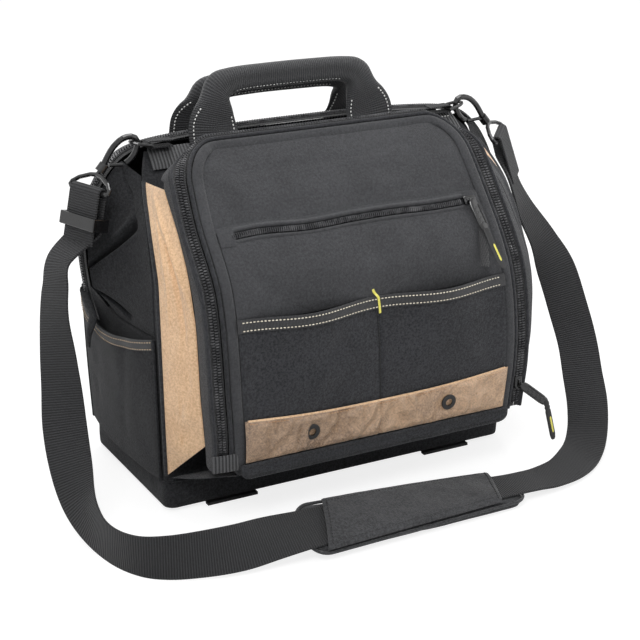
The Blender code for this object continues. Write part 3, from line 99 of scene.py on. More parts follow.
END_TAB_WIDTH = 0.018
END_TAB_LENGTH = 0.052
END_TAB_TILT = 0.20
POCKET_TOP = 0.1574
POCKET_SWELL = 0.0100
POCKET_SAG = 0.012
SIDE_TRIM_WIDTH = 0.0100
BINDING = 0.0012
DOOR_BOTTOM = 0.046
DOOR_TOP = 0.3125
DOOR_REACH = 0.145
DOOR_HALF_WIDTH = 0.138
DOOR_CORNER = 0.030
DOOR_FOOT_CORNER = 0.008
DOOR = 0.0036
DOOR_REACH_SHARES = ((0.146, 0.962), (0.32, 1.0), (0.60, 0.980), (0.70, 0.925), (0.82, 0.755),
                     (0.94, 0.560), (1.0, 0.430))
DOOR_SPREAD_SHARES = ((0.146, 0.978), (0.25, 0.986), (0.38, 1.0), (0.56, 0.993), (0.70, 0.971), (0.82, 0.967),
                      (0.91, 0.950), (1.0, 0.945))
DOOR_LEAN = 0.0095
DOOR_LEAN_SHARES = ((0.146, -0.21), (0.38, -0.10), (0.56, 0.21), (0.70, 0.74), (0.82, 1.0), (1.0, 1.0))
TAPE_TURN = 1.31
PIPING_RADIUS = 0.0019
DOOR_TAPE_WIDTH = 0.0046
FRAME_TAPE_WIDTH = 0.0046
DOOR_TAPE_DEEP = 0.0030
GUSSET_GAP = 0.0016
RIGHT_BULGE = 0.018
GUSSET_BACK = 0.0060
GUSSET_TOP = 0.2860
SEAM_REACH_SHARES = ((0.19, 0.845), (0.40, 0.850), (0.62, 0.835), (0.80, 0.700), (0.90, 0.480))
SEAM_SPREAD = 0.012
TAN_CORNER_FOOT = 0.036
TAN_SEAM_FOOT = 0.072
TAN_TOP = 0.280
ZIP_LINE = 0.2465
ZIP_HALF = 0.0036
LIP_WIDTH = 0.0056
TRIM_LINE = 0.1845
TRIM_WIDTH = 0.0105
TRIM_SAG = 0.001
TOOL_POCKET_FOOT = 0.056
TOOL_POCKET_MOUTH = 0.0120
BORDER = 0.0090
STRIP_TOP = 0.0965
STRIP_FOOT = 0.0610
STRIP_DIP = 0.006
BOTTOM_BINDING = 0.0146
BINDING_MARGIN = 0.003
EYELET_SPREAD = 0.0675
EYELET_HEIGHT = 0.0787
DOOR_TAB_LEFT = -0.1545
DOOR_TAB_LENGTH = 0.0230
DOOR_TAB_FOOT = 0.0560
DOOR_TAB_HEIGHT = 0.0150
DOOR_TAB_MIDDLE = 0.062
DOOR_TAB_LIFT = 0.0030
DIVIDER_TOP = 0.190
DIVIDER_PLACE = 0.020
DIVIDER_MARGIN = 0.010
HANDLE_PLACE = -0.015
HANDLE_HALF_SPAN = 0.076
HANDLE_FOOT = 0.2962
HANDLE_FOOT_REACH = 0.0244
HANDLE_RISES = {-1: 0.0548, 1: 0.0468}
HANDLE_TOP_REACH = 0.0088
HANDLE_WEB_HALF = 0.0225
HANDLE_GRIP_HALF = 0.0104
HANDLE_GRIP_THICKNESS = 0.0150
HANDLE_SHOULDER = 0.020
HANDLE_CORNER = 0.020
HANDLE_PEAK = 0.005
HANDLE_STITCH_INSET = 0.0036
SLIDER_LENGTH = 0.0120
SLIDER_WIDTH = 0.0075
SLIDER_HEIGHT = 0.0030
PULL_LENGTH = 0.030
PULL_WIDTH = 0.0085
PULL_THICKNESS = 0.0020
PULL_TAIL = 0.037
PULL_TAIL_WIDTH = 0.0065
POCKET_SLIDER_PLACE = 0.1132
DOOR_SLIDER_HEIGHT = 0.0790
MAIN_SLIDER_HEIGHT = 0.1970
TRIM_PROUD = 0.015
RING_BAR_PLACES = {"left": 0.150, "right": 0.143}
RING_BAR_HEIGHT = 0.3059
RING_DEPTH_PLACE = -0.0185
RING_WIRE = 0.0015
RING_REACH = 0.0160
RING_LIFT = 0.0035
RING_TAB_HALF = 0.0055
RING_TAB_SKIN = 0.0012
RING_TAB_LENGTH = 0.020
RING_TAB_STEP = 0.0012
HOOK_WIRE = 0.0026
HOOK_SEAT = 0.0360
HOOK_WIDTH = 0.0165
HOOK_BARREL = 0.0042
SWIVEL_WIRE = 0.0019
SWIVEL_DROP = 0.0150
STRAP_WIDTH = 0.038
STRAP = 0.0020
STRAP_FOLD = 0.0036
STRAP_TAIL = 0.044
STRAP_STEP = 0.0030
PAD_LENGTH = 0.214
PAD_HEIGHT = 0.052
PAD_THICKNESS = 0.0090
PAD_SLEEVE_LENGTH = 0.172
PAD_SLEEVE = 0.0026
PAD_CENTRE = 0.004
PAD_LINE = -0.2304
PAD_FLOOR = -FOOT_HEIGHT + CLEARANCE
PAD_CORNER = PAD_HEIGHT / 3
PAD_SIDES = 28
PAD_PIVOT = PAD_LINE + STRAP / 2 + CLEARANCE + PAD_THICKNESS
# the pad leans back on its lower edge: share of its length from its centre, radians
PAD_LEANS = ((-0.5, 1.05), (0.0, 1.31), (0.5, 1.57))
PUFF_VOXEL = 0.0030
PUFF_CAP = 0.0014
PUFF_PRESSURE = 4.0
PUFF_FRAMES = 20
# radii of the cords inside the seams
SIDE_WELT = 0.0014
BASE_WELT = 0.0013
FRAME_WELT = 0.0016
PAD_WELT = 0.0014
CHAIN_CORD = 0.0008
ZIP_CORD = 0.0006
STRIP_FOLD = 0.0010
SIDES = (("left", -1), ("right", 1))
FACINGS = (("front", -1), ("rear", 1))


# Smooth values and curves

def along(table, key):
    """The value at a key on a smooth curve through (key, value) pairs."""
    if key <= table[0][0]:
        return table[0][1]
    if key >= table[-1][0]:
        return table[-1][1]
    index = max(i for i in range(len(table) - 1) if table[i][0] <= key)
    before, start = table[max(index - 1, 0)], table[index]
    stop, after = table[index + 1], table[min(index + 2, len(table) - 1)]
    span = stop[0] - start[0]
    step = (key - start[0]) / span
    rise_in = (stop[1] - before[1]) / (stop[0] - before[0]) * span
    rise_out = (after[1] - start[1]) / (after[0] - start[0]) * span
    square = step * step
    cube = square * step
    return ((2 * cube - 3 * square + 1) * start[1] + (cube - 2 * square + step) * rise_in
            + (3 * square - 2 * cube) * stop[1] + (cube - square) * rise_out)


def spline(points, share):
    """The place at a share of a smooth curve through evenly shared points."""
    place = min(max(share, 0.0), 1.0) * (len(points) - 1)
    index = min(int(place), len(points) - 2)
    step = place - index
    before, start = points[max(index - 1, 0)], points[index]
    stop, after = points[index + 1], points[min(index + 2, len(points) - 1)]
    square = step * step
    cube = square * step
    return (start * (2 * cube - 3 * square + 1) + (stop - before) * (cube - 2 * square + step) / 2
            + stop * (3 * square - 2 * cube) + (after - start) * (cube - square) / 2)


def even_spline(points, spacing):
    """Evenly spaced places on a smooth curve through points."""
    fine_count = 24 * len(points)
    fine = [spline(points, i / fine_count) for i in range(fine_count + 1)]
    lengths = [0.0]
    for i in range(fine_count):
        lengths.append(lengths[-1] + (fine[i + 1] - fine[i]).length)
    count = max(2, round(lengths[-1] / spacing))
    places = []
    index = 0
    for i in range(count + 1):
        target = lengths[-1] * i / count
        while index < fine_count - 1 and lengths[index + 1] < target:
            index += 1
        part = (target - lengths[index]) / max(lengths[index + 1] - lengths[index], 1e-12)
        places.append(fine[index].lerp(fine[index + 1], min(max(part, 0.0), 1.0)))
    return places


def clamp(value, low=0.0, high=1.0):
    return min(max(value, low), high)


def smooth(value):
    value = clamp(value)
    return value * value * (3 - 2 * value)


def even(start, span, count):
    """Even values from a start over a span."""
    return [start + span * i / count for i in range(count + 1)]


# each cloth's unevenness: the size of its features and their height
RUMPLES = {"wall": (0.06, 0.0012), "side": (0.035, 0.0008), "gusset": (0.028, 0.0011),
           "side_pocket": (0.030, 0.0009), "base": (0.022, 0.0007), "door": (0.045, 0.0010),
           "border": (1.2, 0.0002), "zip_pocket": (0.040, 0.0009), "tool_pocket": (0.045, 0.0009),
           "zip_wave": (0.060, 0.0016), "zip_lip": (0.03, 0.0003), "satin_fine": (0.011, 0.0008),
           "satin_broad": (0.030, 0.0009), "binding": (0.02, 0.0005), "compartment": (0.030, 0.0012),
           "tan": (1.1, 0.0008), "floor": (0.03, 0.0008), "divider": (0.06, 0.0010),
           "grip": (0.05, 0.0007), "webbing": (0.05, 0.0006), "sleeve_broad": (0.018, 0.0008),
           "sleeve_fine": (0.006, 0.0003)}


def rumple(kind, x, y, z):
    """The unevenness of a kind of cloth at a place."""
    size, height = RUMPLES[kind]
    return height * noise.noise(Vector((x, y, z)) / size)


def folds(x, z, lines):
    """The rise or dip at a spot from soft creases (x0, z0, x1, z1, width, rise)."""
    total = 0.0
    for x0, z0, x1, z1, width, rise in lines:
        run_x, run_z = x1 - x0, z1 - z0
        share = clamp(((x - x0) * run_x + (z - z0) * run_z) / (run_x * run_x + run_z * run_z))
        gap = hypot(x - x0 - share * run_x, z - z0 - share * run_z)
        total += rise * exp(-(gap / width) ** 2)
    return total


# Node materials

def add_node(tree, kind, **values):
    """A shader node with its settings, and its inputs set or linked by name or by number."""
    made = tree.nodes.new("ShaderNode" + kind)
    for key, value in values.items():
        if hasattr(made, key):
            setattr(made, key, value)
            continue
        socket = made.inputs[int(key[1:])] if key[0] == "i" and key[1:].isdigit() else made.inputs[key]
        if isinstance(value, bpy.types.NodeSocket):
            tree.links.new(value, socket)
        else:
            socket.default_value = value
    return made


class Finish:
    """A node material, built up from sockets."""

    def __init__(self, name, slot, roughness, metallic=0.0, specular=0.5):
        self.material = bpy.data.materials.new(name)
        self.material.use_nodes = True
        self.tree = self.material.node_tree
        self.shader = self.tree.nodes["Principled BSDF"]
        self.slot = slot
        self.set("Roughness", roughness)
        self.set("Metallic", metallic)
        self.set("Specular IOR Level", specular)

    def set(self, name, value):
        self.shader.inputs[name].default_value = value

    def link(self, socket, name):
        self.tree.links.new(socket, self.shader.inputs[name])

    def node(self, kind, **values):
        return add_node(self.tree, kind, **values)

    def math(self, operation, first, second=0.0, third=0.0):
        return self.node("Math", operation=operation, i0=first, i1=second, i2=third).outputs[0]

    def vary(self, tone, socket, amount):
        """The tone with a socket's departure from a half added to it."""
        return self.math("MULTIPLY_ADD", self.math("SUBTRACT", socket, 0.5), amount, tone)

    def mix(self, share, first, second):
        made = self.node("Mix", data_type="RGBA", Factor=share)
        for index, value in ((6, first), (7, second)):
            if isinstance(value, bpy.types.NodeSocket):
                self.tree.links.new(value, made.inputs[index])
            else:
                made.inputs[index].default_value = (*value, 1.0)
        return made.outputs[2]

    def spread(self, socket, low, high):
        return self.node("MapRange", i0=socket, i1=low, i2=high).outputs[0]

    def bump(self, height, distance, strength=1.0, under=None):
        made = self.node("Bump", Height=height, Distance=distance, Strength=strength)
        if under:
            self.tree.links.new(under, made.inputs["Normal"])
        return made.outputs[0]

    def coordinates(self, flat):
        return self.node("TexCoord").outputs["UV" if flat else "Object"]

    def fleck(self, place, scale, detail=2.0, roughness=0.5):
        return self.node("TexNoise", Vector=place, Scale=scale, Detail=detail, Roughness=roughness).outputs[0]

    def wave(self, place, axis, pitch):
        """A sine of that pitch along one axis of the cloth, between -1 and 1."""
        parts = self.node("SeparateXYZ", Vector=place)
        return self.math("SINE", self.math("MULTIPLY", parts.outputs[axis], 2 * pi / pitch))


def fabric(name, slot, dark, light, thread, roughness=0.8, sheen=0.25, specular=0.35, grain=0.5, twill=0.0,
           crease=0.5, painted_highlight_slope=0.0):
    """Woven cloth: crossing threads, an uneven dye, a soft sheen, and where asked a tone that climbs along X as a
    painted highlight.
    """
    made = Finish(name, slot, roughness, specular=specular)
    flat = made.coordinates(True)
    solid = made.coordinates(False)
    warp = made.wave(flat, 0, thread)
    weft = made.wave(flat, 1, thread)
    cross = made.math("MULTIPLY", warp, weft)
    if twill:
        parts = made.node("SeparateXYZ", Vector=flat)
        slant = made.math("ADD", parts.outputs[0], made.math("MULTIPLY", parts.outputs[1], twill))
        cross = made.math("SINE", made.math("MULTIPLY", slant, 2 * pi / thread))
    fine = made.fleck(solid, 520.0, 3.0, 0.7)
    broad = made.fleck(solid, 22.0, 3.0, 0.55)
    tone = made.math("MULTIPLY_ADD", cross, 0.10 + grain * 0.12, 0.5)
    tone = made.vary(tone, fine, grain * 3.2)
    tone = made.vary(tone, broad, 0.9)
    # painted highlight: the tone rises steadily along X
    if painted_highlight_slope:
        across = made.node("SeparateXYZ", Vector=solid).outputs[0]
        tone = made.math("MULTIPLY_ADD", across, painted_highlight_slope, tone)
    made.link(made.mix(made.node("Clamp", Value=tone).outputs[0], dark, light), "Base Color")
    made.set("Sheen Weight", sheen)
    made.set("Sheen Roughness", 0.45)
    wear = made.math("MULTIPLY_ADD", broad, 0.18, roughness - 0.09)
    made.link(wear, "Roughness")
    creases = made.node("TexNoise", Vector=solid, noise_type="RIDGED_MULTIFRACTAL", Scale=26.0, Detail=4.0,
                        Roughness=0.45).outputs[0]
    pressed = made.bump(creases, 0.0060, crease)
    weave = made.bump(cross, thread * 0.22, 0.55, pressed)
    made.link(made.bump(fine, 0.0007, 0.5, weave), "Normal")
    return made


def webbing_finish(name, slot, dark, light, rib, axis=0, roughness=0.72, contrast=0.5, sheen=0.2):
    """Webbing with close ribs across its length."""
    made = Finish(name, slot, roughness, specular=0.35)
    flat = made.coordinates(True)
    solid = made.coordinates(False)
    ribs = made.wave(flat, axis, rib)
    cross = made.wave(flat, 1 - axis, 0.0011)
    fine = made.fleck(solid, 700.0, 3.0, 0.6)
    broad = made.fleck(solid, 30.0, 3.0, 0.5)
    tone = made.math("MULTIPLY_ADD", ribs, contrast * 0.55, 0.5)
    tone = made.math("MULTIPLY_ADD", cross, 0.10, tone)
    tone = made.vary(tone, fine, 0.9)
    tone = made.vary(tone, broad, 0.6)
    made.link(made.mix(made.node("Clamp", Value=tone).outputs[0], dark, light), "Base Color")
    made.set("Sheen Weight", sheen)
    made.link(made.math("MULTIPLY_ADD", broad, 0.15, roughness - 0.08), "Roughness")
    deep = made.bump(ribs, rib * 0.16, 0.8)
    made.link(made.bump(cross, 0.00012, 0.5, deep), "Normal")
    return made


def hard_finish(name, slot, colour, light, roughness, metallic=0.0, grain=300.0, coat=0.0):
    """Moulded plastic, rubber or enamelled wire, a little scuffed."""
    made = Finish(name, slot, roughness, metallic)
    solid = made.coordinates(False)
    fine = made.fleck(solid, grain, 4.0, 0.6)
    scuff = made.fleck(solid, grain / 6, 5.0, 0.7)
    worn = made.spread(scuff, 0.45, 0.75)
    made.link(made.mix(worn, colour, light), "Base Color")
    made.link(made.math("MULTIPLY_ADD", scuff, 0.25, roughness - 0.12), "Roughness")
    made.set("Coat Weight", coat)
    made.link(made.bump(fine, 0.00012, 0.35), "Normal")
    return made


def thread_finish(name, colour, light, slot="black_webbing", roughness=0.6):
    return hard_finish(name, slot, colour, light, roughness, grain=900.0)


BLACK = fabric("black_cloth", "black_fabric", (0.014, 0.0145, 0.0165), (0.058, 0.059, 0.064), 0.0009, sheen=0.18)
# the body's black cloth with its tone cut well below BLACK's: painted shade on the ends, walls and base
PAINTED_SHADE_CLOTH = fabric("side_cloth_painted_shade", "black_fabric", (0.0045, 0.0048, 0.0058), (0.023, 0.0235, 0.0265), 0.0011, grain=1.3,
              sheen=0.06, specular=0.25)
# a darker black cloth; on the door's piping and the frame's welt its darkness is painted shade along the door's
# edge
DEEP_BLACK_AND_SHADE = fabric("deep_black_cloth_and_painted_shade", "black_fabric", (0.008, 0.0085, 0.0105), (0.034, 0.035, 0.040), 0.0011, grain=1.3,
              sheen=0.15, specular=0.3)
PAD_CLOTH = fabric("pad_cloth", "black_fabric", (0.014, 0.0145, 0.016), (0.062, 0.063, 0.067), 0.0010, sheen=0.2,
                   grain=0.8, specular=0.3)
LINING = fabric("grey_lining", "black_fabric", (0.05, 0.05, 0.052), (0.10, 0.10, 0.105), 0.0008, roughness=0.6)
BINDING_CLOTH = webbing_finish("ribbon", "black_webbing", (0.009, 0.009, 0.011), (0.045, 0.045, 0.048), 0.0012,
                               contrast=0.35)
TAN = fabric("tan_cloth", "tan_fabric", (0.60, 0.355, 0.185), (0.93, 0.64, 0.39), 0.0010, roughness=0.50,
             sheen=0.5, specular=0.5, grain=0.8, twill=1.0, crease=0.9)
# the satin's tone climbs towards +X: a painted highlight, lighter towards the right end
STRIP = fabric("tan_satin", "tan_fabric", (0.13, 0.075, 0.040), (0.66, 0.43, 0.26), 0.0013, roughness=0.28,
               sheen=0.2, specular=1.0, grain=0.5, twill=1.0, crease=1.0, painted_highlight_slope=2.4)
WEB = webbing_finish("ribbed_webbing", "black_webbing", (0.0015, 0.0015, 0.002), (0.023, 0.0235, 0.026), 0.0021,
                     contrast=1.0, sheen=0.08)
GRIP = webbing_finish("grip_webbing", "black_webbing", (0.010, 0.010, 0.0115), (0.054, 0.055, 0.058), 0.0018,
                      contrast=0.45)
BAND = webbing_finish("grosgrain", "black_webbing", (0.008, 0.008, 0.009), (0.085, 0.086, 0.09), 0.0030,
                      contrast=1.1)
ZIP_TAPE = webbing_finish("zip_tape", "black_fabric", (0.006, 0.006, 0.007), (0.028, 0.028, 0.030), 0.0016,
                          contrast=0.4)
TEETH = hard_finish("zip_teeth", "black_fabric", (0.035, 0.035, 0.038), (0.17, 0.17, 0.175), 0.28, 0.2, 500.0)
ENAMEL = hard_finish("black_enamel", "black_enamel", (0.012, 0.012, 0.013), (0.05, 0.05, 0.05), 0.24, 0.55, 260.0,
                     0.4)
PLASTIC = hard_finish("black_plastic", "black_plastic", (0.003, 0.003, 0.0035), (0.014, 0.014, 0.015), 0.24,
                      coat=0.4)
RUBBER = hard_finish("black_rubber", "black_rubber", (0.006, 0.006, 0.0065), (0.026, 0.026, 0.027), 0.55)
BOARDING = hard_finish("grey_board", "grey_board", (0.12, 0.12, 0.12), (0.20, 0.20, 0.20), 0.62)
CREAM_THREAD = thread_finish("cream_thread", (0.68, 0.62, 0.50), (0.85, 0.80, 0.68))
WHITE_THREAD = thread_finish("white_thread", (0.78, 0.78, 0.76), (0.92, 0.92, 0.90), roughness=0.5)
YELLOW_THREAD = thread_finish("yellow_thread", (0.72, 0.66, 0.12), (0.88, 0.82, 0.24))
DARK_THREAD = thread_finish("dark_thread", (0.006, 0.006, 0.007), (0.02, 0.02, 0.02), "black_fabric")
SAND_THREAD = thread_finish("sand_thread", (0.40, 0.30, 0.20), (0.62, 0.50, 0.36))
RING_ENAMEL = hard_finish("eyelet_enamel", "black_enamel", (0.004, 0.004, 0.004), (0.014, 0.014, 0.014), 0.34, 0.1)
TAN_THREAD = thread_finish("tan_thread", (0.36, 0.20, 0.10), (0.62, 0.40, 0.22), "tan_fabric")


# Meshes

def add_mesh(name, vertices, faces, finish, uvs=None, angle=40):
    mesh = bpy.data.meshes.new(name)
    mesh.from_pydata([tuple(p) for p in vertices], [], faces)
    if uvs is not None:
        layer = mesh.uv_layers.new(name="cloth")
        index = np.zeros(len(mesh.loops), np.int32)
        mesh.loops.foreach_get("vertex_index", index)
        layer.data.foreach_set("uv", np.asarray(uvs, np.float32)[index].ravel())
    mesh.materials.append(finish.material)
    mesh.shade_smooth()
    mesh.set_sharp_from_angle(angle=radians(angle))
    thing = bpy.data.objects.new(name, mesh)
    bpy.context.scene.collection.objects.link(thing)
    thing["finish_slot"] = finish.slot
    return thing


def dress(thing, nodes=(), body=None):
    """Ride the frame: on the body of the node it stands for, or on the one named."""
    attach(thing, body or BODY_OF[nodes[0]])
    settle(thing, nodes)


def settle(thing, nodes=()):
    """Hide the nodes a piece stands for, and drop the mark of its finish's slot."""
    if nodes:
        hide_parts(*nodes)
    del thing["finish_slot"]


def cloth(name, shape, columns, rows, thickness, finish, facing):
    """A panel of cloth whose outer face is shape(u, v), with its edges turned a little."""
    outer = np.array([[tuple(shape(i / columns, j / rows)) for i in range(columns + 1)]
                      for j in range(rows + 1)])
    normals = np.cross(np.gradient(outer, axis=1), np.gradient(outer, axis=0))
    normals /= np.maximum(np.linalg.norm(normals, axis=2, keepdims=True), 1e-12)
    turned = (normals.reshape(-1, 3) @ np.array(facing, float)).mean() < 0
    if turned:
        normals = -normals
    edge = np.zeros(outer.shape[:2] + (1,))
    edge[0] = edge[-1] = 1
    edge[:, 0] = edge[:, -1] = 1
    inner = outer - normals * thickness * (1 - HEM * edge)
    face = outer - normals * thickness * HEM * edge
    width = np.linalg.norm(np.diff(outer[rows // 2], axis=0), axis=1).sum()
    height = np.linalg.norm(np.diff(outer[:, columns // 2], axis=0), axis=1).sum()
    grid_u, grid_v = np.meshgrid(np.linspace(0, width, columns + 1), np.linspace(0, height, rows + 1))
    flat = np.stack([grid_u.ravel(), grid_v.ravel()], 1)
    count = (columns + 1) * (rows + 1)

    def at(i, j, layer=0):
        return layer * count + j * (columns + 1) + i
    faces = []
    for j in range(rows):
        for i in range(columns):
            quad = (at(i, j), at(i + 1, j), at(i + 1, j + 1), at(i, j + 1))
            faces.append(quad[::-1] if turned else quad)
            back = tuple(k + count for k in quad)
            faces.append(back if turned else back[::-1])
    ring = [(i, 0) for i in range(columns)] + [(columns, j) for j in range(rows)]
    ring += [(i, rows) for i in range(columns, 0, -1)] + [(0, j) for j in range(rows, 0, -1)]
    for (i, j), (k, m) in zip(ring, ring[1:] + ring[:1]):
        quad = (at(i, j), at(i, j, 1), at(k, m, 1), at(k, m))
        faces.append(quad[::-1] if turned else quad)
    return add_mesh(name, np.concatenate([face.reshape(-1, 3), inner.reshape(-1, 3)]), faces, finish,
                    np.concatenate([flat, flat]))


def run_along(points):
    """How far each point is along the line through them all."""
    return np.concatenate([[0], np.cumsum(np.linalg.norm(np.diff(points, axis=0), axis=1))])


def skin(name, rings, finish, angle=50, capped=True):
    """A closed tube through rings of points; its lengths are along the rings, and its widths round them."""
    rings = np.array([[tuple(p) for p in ring] for ring in rings])
    looped = np.concatenate([rings, rings[:, :1]], axis=1)
    count, sides = looped.shape[:2]
    run, girth = run_along(rings.mean(axis=1)), run_along(looped[count // 2])
    flat = np.stack([np.repeat(run, sides), np.tile(girth, count)], 1)
    faces = []
    for j in range(count - 1):
        for i in range(sides - 1):
            low = j * sides + i
            faces.append((low, low + 1, low + 1 + sides, low + sides))
    if capped:
        faces.append(tuple(range(sides - 2, -1, -1)))
        faces.append(tuple((count - 1) * sides + i for i in range(sides - 1)))
    middle = rings[count // 2].mean(axis=0)
    first = rings[count // 2, 0] - middle
    second = rings[count // 2, 1] - middle
    ahead = rings[min(count // 2 + 1, count - 1)].mean(axis=0) - rings[count // 2 - 1].mean(axis=0)
    if np.dot(np.cross(first, second), ahead) < 0:
        faces = [face[::-1] for face in faces]
    return add_mesh(name, looped.reshape(-1, 3), faces, finish, flat, angle)


def frame_of(ahead, outward):
    """Columns: ahead, across and outward."""
    ahead = Vector(ahead).normalized()
    outward = Vector(outward)
    outward = (outward - ahead * outward.dot(ahead)).normalized()
    return Matrix((ahead, outward.cross(ahead), outward)).transposed()


def circle(sides):
    """(cosine, sine) pairs round a circle."""
    return [(cos(2 * pi * k / sides), sin(2 * pi * k / sides)) for k in range(sides)]


def hose(name, path, radius, finish, sides=10, closed=False):
    """A round cord along (place, outward) pairs."""
    rings = []
    places = [Vector(place) for place, outward in path]
    last = len(places) - 1
    for i, (place, outward) in enumerate(path):
        before = places[i - 1] if closed else places[max(i - 1, 0)]
        after = places[(i + 1) % len(places)] if closed else places[min(i + 1, last)]
        turn = frame_of(after - before, outward)
        rings.append([places[i] + turn.col[1] * radius * cosine + turn.col[2] * radius * sine
                      for cosine, sine in circle(sides)])
    if closed:
        rings.append(rings[0])
    return skin(name, rings, finish, 80, not closed)


def small_loft(stations, sides):
    """Points and faces of a small shape along +X from (place, half width, half height, rise) stations."""
    points = []
    for place, wide, high, rise in stations:
        points += [(place, wide * cosine, rise + high * sine) for cosine, sine in circle(sides)]
    faces = [(j * sides + k, (j + 1) * sides + k, (j + 1) * sides + (k + 1) % sides, j * sides + (k + 1) % sides)
             for j in range(len(stations) - 1) for k in range(sides)]
    faces.append(tuple(range(sides)))
    faces.append(tuple((len(stations) - 1) * sides + k for k in range(sides - 1, -1, -1)))
    return np.array(points), faces


def join(name, parts, finish, angle=40):
    """One mesh of several (points, faces) shapes."""
    vertices, faces, count = [], [], 0
    for points, part_faces in parts:
        vertices.append(np.asarray(points))
        faces += [tuple(k + count for k in face) for face in part_faces]
        count += len(points)
    vertices = np.concatenate(vertices)
    return add_mesh(name, vertices, faces, finish, vertices[:, :2], angle)


def placed(shape, place, turn):
    points, faces = shape
    return points @ np.array(turn).T + np.array(tuple(place)), faces


def shifted(shape, x, y, z):
    points, faces = shape
    return points + np.array((x, y, z)), faces


def scatter(name, shape, spots, finish, angle=60):
    """One mesh of copies of a small shape, at (place, ahead, outward) spots."""
    return join(name, [placed(shape, place, frame_of(ahead, outward)) for place, ahead, outward in spots],
                finish, angle)


def spots_along(path, pitch, start=0.0, trim=0.0):
    """Even spots on a path of (place, outward) pairs."""
    places = np.array([tuple(place) for place, outward in path])
    outwards = np.array([tuple(outward) for place, outward in path])
    run = run_along(places)
    spots = []
    for target in np.arange(trim + start, run[-1] - trim, pitch):
        def at(rows, key):
            return np.array([np.interp(key, run, rows[:, k]) for k in range(3)])
        ahead = at(places, target + pitch / 3) - at(places, target - pitch / 3)
        spots.append((Vector(at(places, target)), Vector(ahead), Vector(at(outwards, target))))
    return spots


def stitch_shape(length, radius):
    return small_loft(((-length / 2, radius * 0.4, radius * 0.3, 0), (-length * 0.3, radius, radius * 0.8, 0),
                       (length * 0.3, radius, radius * 0.8, 0), (length / 2, radius * 0.4, radius * 0.3, 0)), 6)


# pitch, length and radius of each kind of stitch
STITCHES = {"side": (0.0032, 0.0019, 0.00050), "band": (0.0032, 0.0019, 0.00055), "trim": (0.0031, 0.0019, 0.00050),
            "seam": (0.0030, 0.0022, 0.0006), "strip": (0.0028, 0.0020, 0.00045), "hem": (0.0030, 0.0020, 0.0006),
            "handle": (0.0032, 0.0018, 0.00062), "sleeve": (0.0032, 0.0018, 0.0004),
            "bartack": (0.00075, 0.0023, 0.00050)}
STITCH_TRIM = 0.002


def stitch_row(name, path, finish, kind, trim=0.0):
    pitch, length, radius = STITCHES[kind]
    return scatter(name, stitch_shape(length, radius), spots_along(path, pitch, trim=trim), finish)


def stitches(name, path, body, finish, kind):
    dress(stitch_row(name, path, finish, kind, STITCH_TRIM), body=body)


# pitch, length, width and height of each zipper's teeth
TOOTH_SIZES = {"main": (0.0024, 0.0015, 0.0034, 0.0016), "door": (0.0024, 0.0014, 0.0032, 0.0015),
               "pocket": (0.0019, 0.0012, 0.0046, 0.0016)}


def tooth_shape(length, width, height):
    """A small block that narrows towards its top."""
    half_length, half_width = length / 2, width / 2
    points = [(x * half_length * k, y * half_width * k, z)
              for z, k in ((0, 1.0), (height * 0.55, 1.0), (height, 0.6))
              for x, y in ((-1, -1), (1, -1), (1, 1), (-1, 1))]
    faces = [(3, 2, 1, 0), (8, 9, 10, 11)]
    for level in (0, 4):
        faces += [(level + k, level + (k + 1) % 4, level + 4 + (k + 1) % 4, level + 4 + k) for k in range(4)]
    return np.array(points), faces


def teeth(name, path, kind, start=0.0, trim=0.0):
    """A row of a zipper's teeth along a path."""
    pitch, length, width, height = TOOTH_SIZES[kind]
    spots = spots_along(path, pitch, start=start, trim=trim)
    return scatter(name, tooth_shape(length, width, height), spots, TEETH, 30)


# The body's outer form

def wall_reach(height):
    return BODY_HALF_DEPTH * along(REACH_SHARES, height / RIDGE_HEIGHT)


def wall_spread(height):
    return BODY_HALF_WIDTH * along(SPREAD_SHARES, height / RIDGE_HEIGHT)


def corner_round(height):
    """The radius of the body's upright corners, tighter towards the ridge."""
    return CORNER_RADIUS - CORNER_TIGHTENING * smooth((height - 0.19) / 0.09)


DOME_POINTS = [Vector((APEX_HALF_WIDTH * across, 0, RIDGE_HEIGHT * up)) for across, up in DOME_SHARES]
HALF_DOME = even_spline(DOME_POINTS, WALL)


def dome(share):
    """The mouth's line over the body, from the left end at share 0 to the right end at 1."""
    mirrored = share > 0.5
    place = (1 - abs(2 * share - 1)) * (len(HALF_DOME) - 1)
    index = min(int(place), len(HALF_DOME) - 2)
    point = HALF_DOME[index].lerp(HALF_DOME[index + 1], place - index)
    return Vector((point.x if mirrored else -point.x, 0, point.z))


def dome_outward(share):
    step_share = 1 / len(HALF_DOME)
    run = dome(min(share + step_share, 1.0)) - dome(max(share - step_share, 0.0))
    return Vector((-run.z, 0, run.x)).normalized()


def dome_share_at(height):
    lower = [i for i, point in enumerate(HALF_DOME) if point.z <= height]
    return lower[-1] / (len(HALF_DOME) - 1) / 2


def dome_spread(height):
    below = [point for point in HALF_DOME if point.z <= height] or [HALF_DOME[0]]
    return below[-1].x


REAR_FOLDS = ((-0.13, 0.16, 0.02, 0.20, 0.010, -0.0016), (-0.05, 0.10, 0.14, 0.13, 0.012, -0.0014),
              (-0.15, 0.24, -0.04, 0.252, 0.008, -0.0012), (0.03, 0.235, 0.15, 0.22, 0.009, 0.0012),
              (-0.16, 0.05, -0.06, 0.075, 0.010, -0.0012), (0.05, 0.06, 0.16, 0.045, 0.009, 0.0010))


